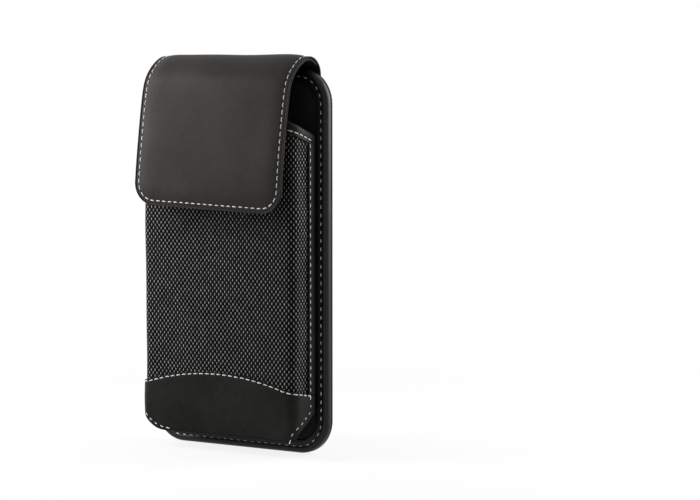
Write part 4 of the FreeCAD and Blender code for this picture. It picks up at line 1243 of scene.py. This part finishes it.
def split_ring_mesh():
    """The ring's flat wire, wound almost twice round, with one crossing from strand to strand."""
    low, high = span("ring")
    radius = (high[0] - low[0]) / 2 - RING_BAND / 2 - RING_CLEARANCE
    axis = np.array((0, -math.sin(RING_LEAN), math.cos(RING_LEAN)))
    depth = np.array((0, math.cos(RING_LEAN), math.sin(RING_LEAN)))
    turns = np.linspace(0, RING_END, 150)
    share = np.clip((turns - RING_CROSSING) / (2 * math.pi - RING_CROSSING), 0, 1)
    rise = (share ** 2 * (3 - 2 * share) - 0.5) * (RING_STRAND + STRAND_GAP)
    outs = np.cos(turns)[:, None] * depth + np.sin(turns)[:, None] * np.array((1.0, 0, 0))
    line = (low + high) / 2 + radius * outs + rise[:, None] * axis
    angles = np.linspace(0, 2 * math.pi, 14, endpoint=False)
    rounded = [np.sign(part) * np.abs(part) ** STRAND_ROUND for part in (np.cos(angles), np.sin(angles))]
    section = np.column_stack((RING_BAND / 2 * rounded[0], RING_STRAND / 2 * rounded[1]))
    return swept("split_ring", line, outs, np.tile(axis, (len(line), 1)), lambda i: section, False)


split_ring = split_ring_mesh()
wear(split_ring, CHROME_WIRE_PAINTED_DARK)
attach(split_ring, "ring")
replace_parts(split_ring, "ring")

# CAD nodes that keep their own shape

finishes = {
    "panel_lining": LINING_CLOTH, "panel_stiffener": BOARD, "panel_foam": FOAM,
    "pocket_floor": LINING_CLOTH, "elastic_gusset_right": ELASTIC, "elastic_gusset_left": ELASTIC,
    "pouch_magnet": MAGNET_STEEL, "flap_magnet": MAGNET_STEEL, "ring_tab": EDGE_LEATHER_SKIN,
    "carabiner_frame": CHROME_WIRE_PAINTED_DARK, "gate_rivet": GATE_STEEL, "gate_sleeve": GATE_STEEL,
    "gate_spring": GATE_STEEL,
}
for node, material in finishes.items():
    wear(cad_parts[node], material)

# Stage, light and camera


def seen_directly(net):
    """1 for rays from the camera, through clear pieces or off bright ones, which see plain white."""
    ray = net.add("ShaderNodeLightPath").outputs
    seen = net.math("MAXIMUM", ray["Is Camera Ray"], ray["Is Transmission Ray"])
    return net.math("MAXIMUM", seen, ray["Is Glossy Ray"])


def pale_floor():
    """A pale matt floor that keeps the soft shadow near the holster and ends in white."""
    material, net, surface = new_material("pale_floor")
    surface.inputs["Base Color"].default_value = (0.85, 0.85, 0.85, 1)
    surface.inputs["Roughness"].default_value = 0.9
    surface.inputs["Specular IOR Level"].default_value = 0.1
    place = net.add("ShaderNodeTexCoord").outputs["Object"]
    reach = net.add("ShaderNodeVectorMath", {0: place}, operation="LENGTH").outputs["Value"]
    white = net.ramp(reach, 0.1, 0.4, 0.86, 1.0)
    light = net.add("ShaderNodeEmission", {"Color": (1, 1, 1, 1), "Strength": 1.0})
    share = net.math("MULTIPLY", seen_directly(net), white)
    mixed = net.add("ShaderNodeMixShader", {0: share, 1: surface.outputs[0], 2: light.outputs[0]})
    output = material.node_tree.nodes["Material Output"]
    net.feed(output.inputs["Surface"], mixed.outputs[0])
    return material


def make_floor():
    """The floor, level with the holster's foot."""
    half = 2.5
    low = panel_low.z + PANEL_FOOT * MM
    mesh = bpy.data.meshes.new("floor")
    mesh.from_pydata([(-half, -half, low), (half, -half, low), (half, half, low), (-half, half, low)], [],
                     [(0, 1, 2, 3)])
    ground = add_object("floor", mesh)
    wear(ground, pale_floor())


SKY_STRENGTH = 0.15


def make_world():
    """An even studio sky that the camera and the metal see as white."""
    world = bpy.data.worlds.new("studio")
    world.use_nodes = True
    bpy.context.scene.world = world
    net = Nodes(world.node_tree)
    background = world.node_tree.nodes["Background"]
    strength = net.math("MULTIPLY_ADD", seen_directly(net), 1.0 - SKY_STRENGTH, SKY_STRENGTH)
    net.feed(background.inputs["Strength"], strength)
    background.inputs["Color"].default_value = (1, 1, 1, 1)


LAMP_TARGET = Vector((0, 0, -0.03))


def lamp(name, place, width, height, power):
    """A soft box that faces the holster."""
    data = bpy.data.lights.new(name, "AREA")
    data.shape = "RECTANGLE"
    data.size, data.size_y = width, height
    data.energy = power
    light = add_object(name, data)
    light.location = place
    light.rotation_euler = (LAMP_TARGET - Vector(place)).to_track_quat("-Z", "Y").to_euler()


make_floor()
make_world()
lamp("key", (-0.215, -0.145, 0.105), 0.14, 0.25, 1.2)
lamp("side", (0.5, 0.34, 0.05), 0.3, 0.5, 1.1)
lamp("rear_key", (0.22, 0.2, 0.11), 0.16, 0.25, 1.1)
lamp("rear_side", (-0.5, 0.15, 0.05), 0.3, 0.5, 0.9)

VIEW_AZIMUTH = math.radians(35)
CAMERA_PLACE = Vector((0.6298, -0.9065, 0.0535))
FOCAL_PIXELS = 2421.0
AIM_RIGHT_PIXELS = 112.1
AIM_DOWN_PIXELS = 195.0
IMAGE_WIDTH_PIXELS = 700
SENSOR_WIDTH = 36.0


def make_camera():
    """The photograph's view of the front, with the holster left of the middle."""
    data = bpy.data.cameras.new("camera")
    data.sensor_width = SENSOR_WIDTH
    data.lens = FOCAL_PIXELS * SENSOR_WIDTH / IMAGE_WIDTH_PIXELS
    data.clip_start, data.clip_end = 0.05, 20
    camera = add_object("camera", data)
    camera.location = CAMERA_PLACE
    forward = Vector((-math.sin(VIEW_AZIMUTH), math.cos(VIEW_AZIMUTH), 0))
    right = Vector((math.cos(VIEW_AZIMUTH), math.sin(VIEW_AZIMUTH), 0))
    aim = FOCAL_PIXELS * forward + AIM_RIGHT_PIXELS * right - Vector((0, 0, AIM_DOWN_PIXELS))
    camera.rotation_euler = aim.to_track_quat("-Z", "Y").to_euler()
    bpy.context.scene.camera = camera


make_camera()
bpy.context.scene.view_settings.view_transform = "Standard"
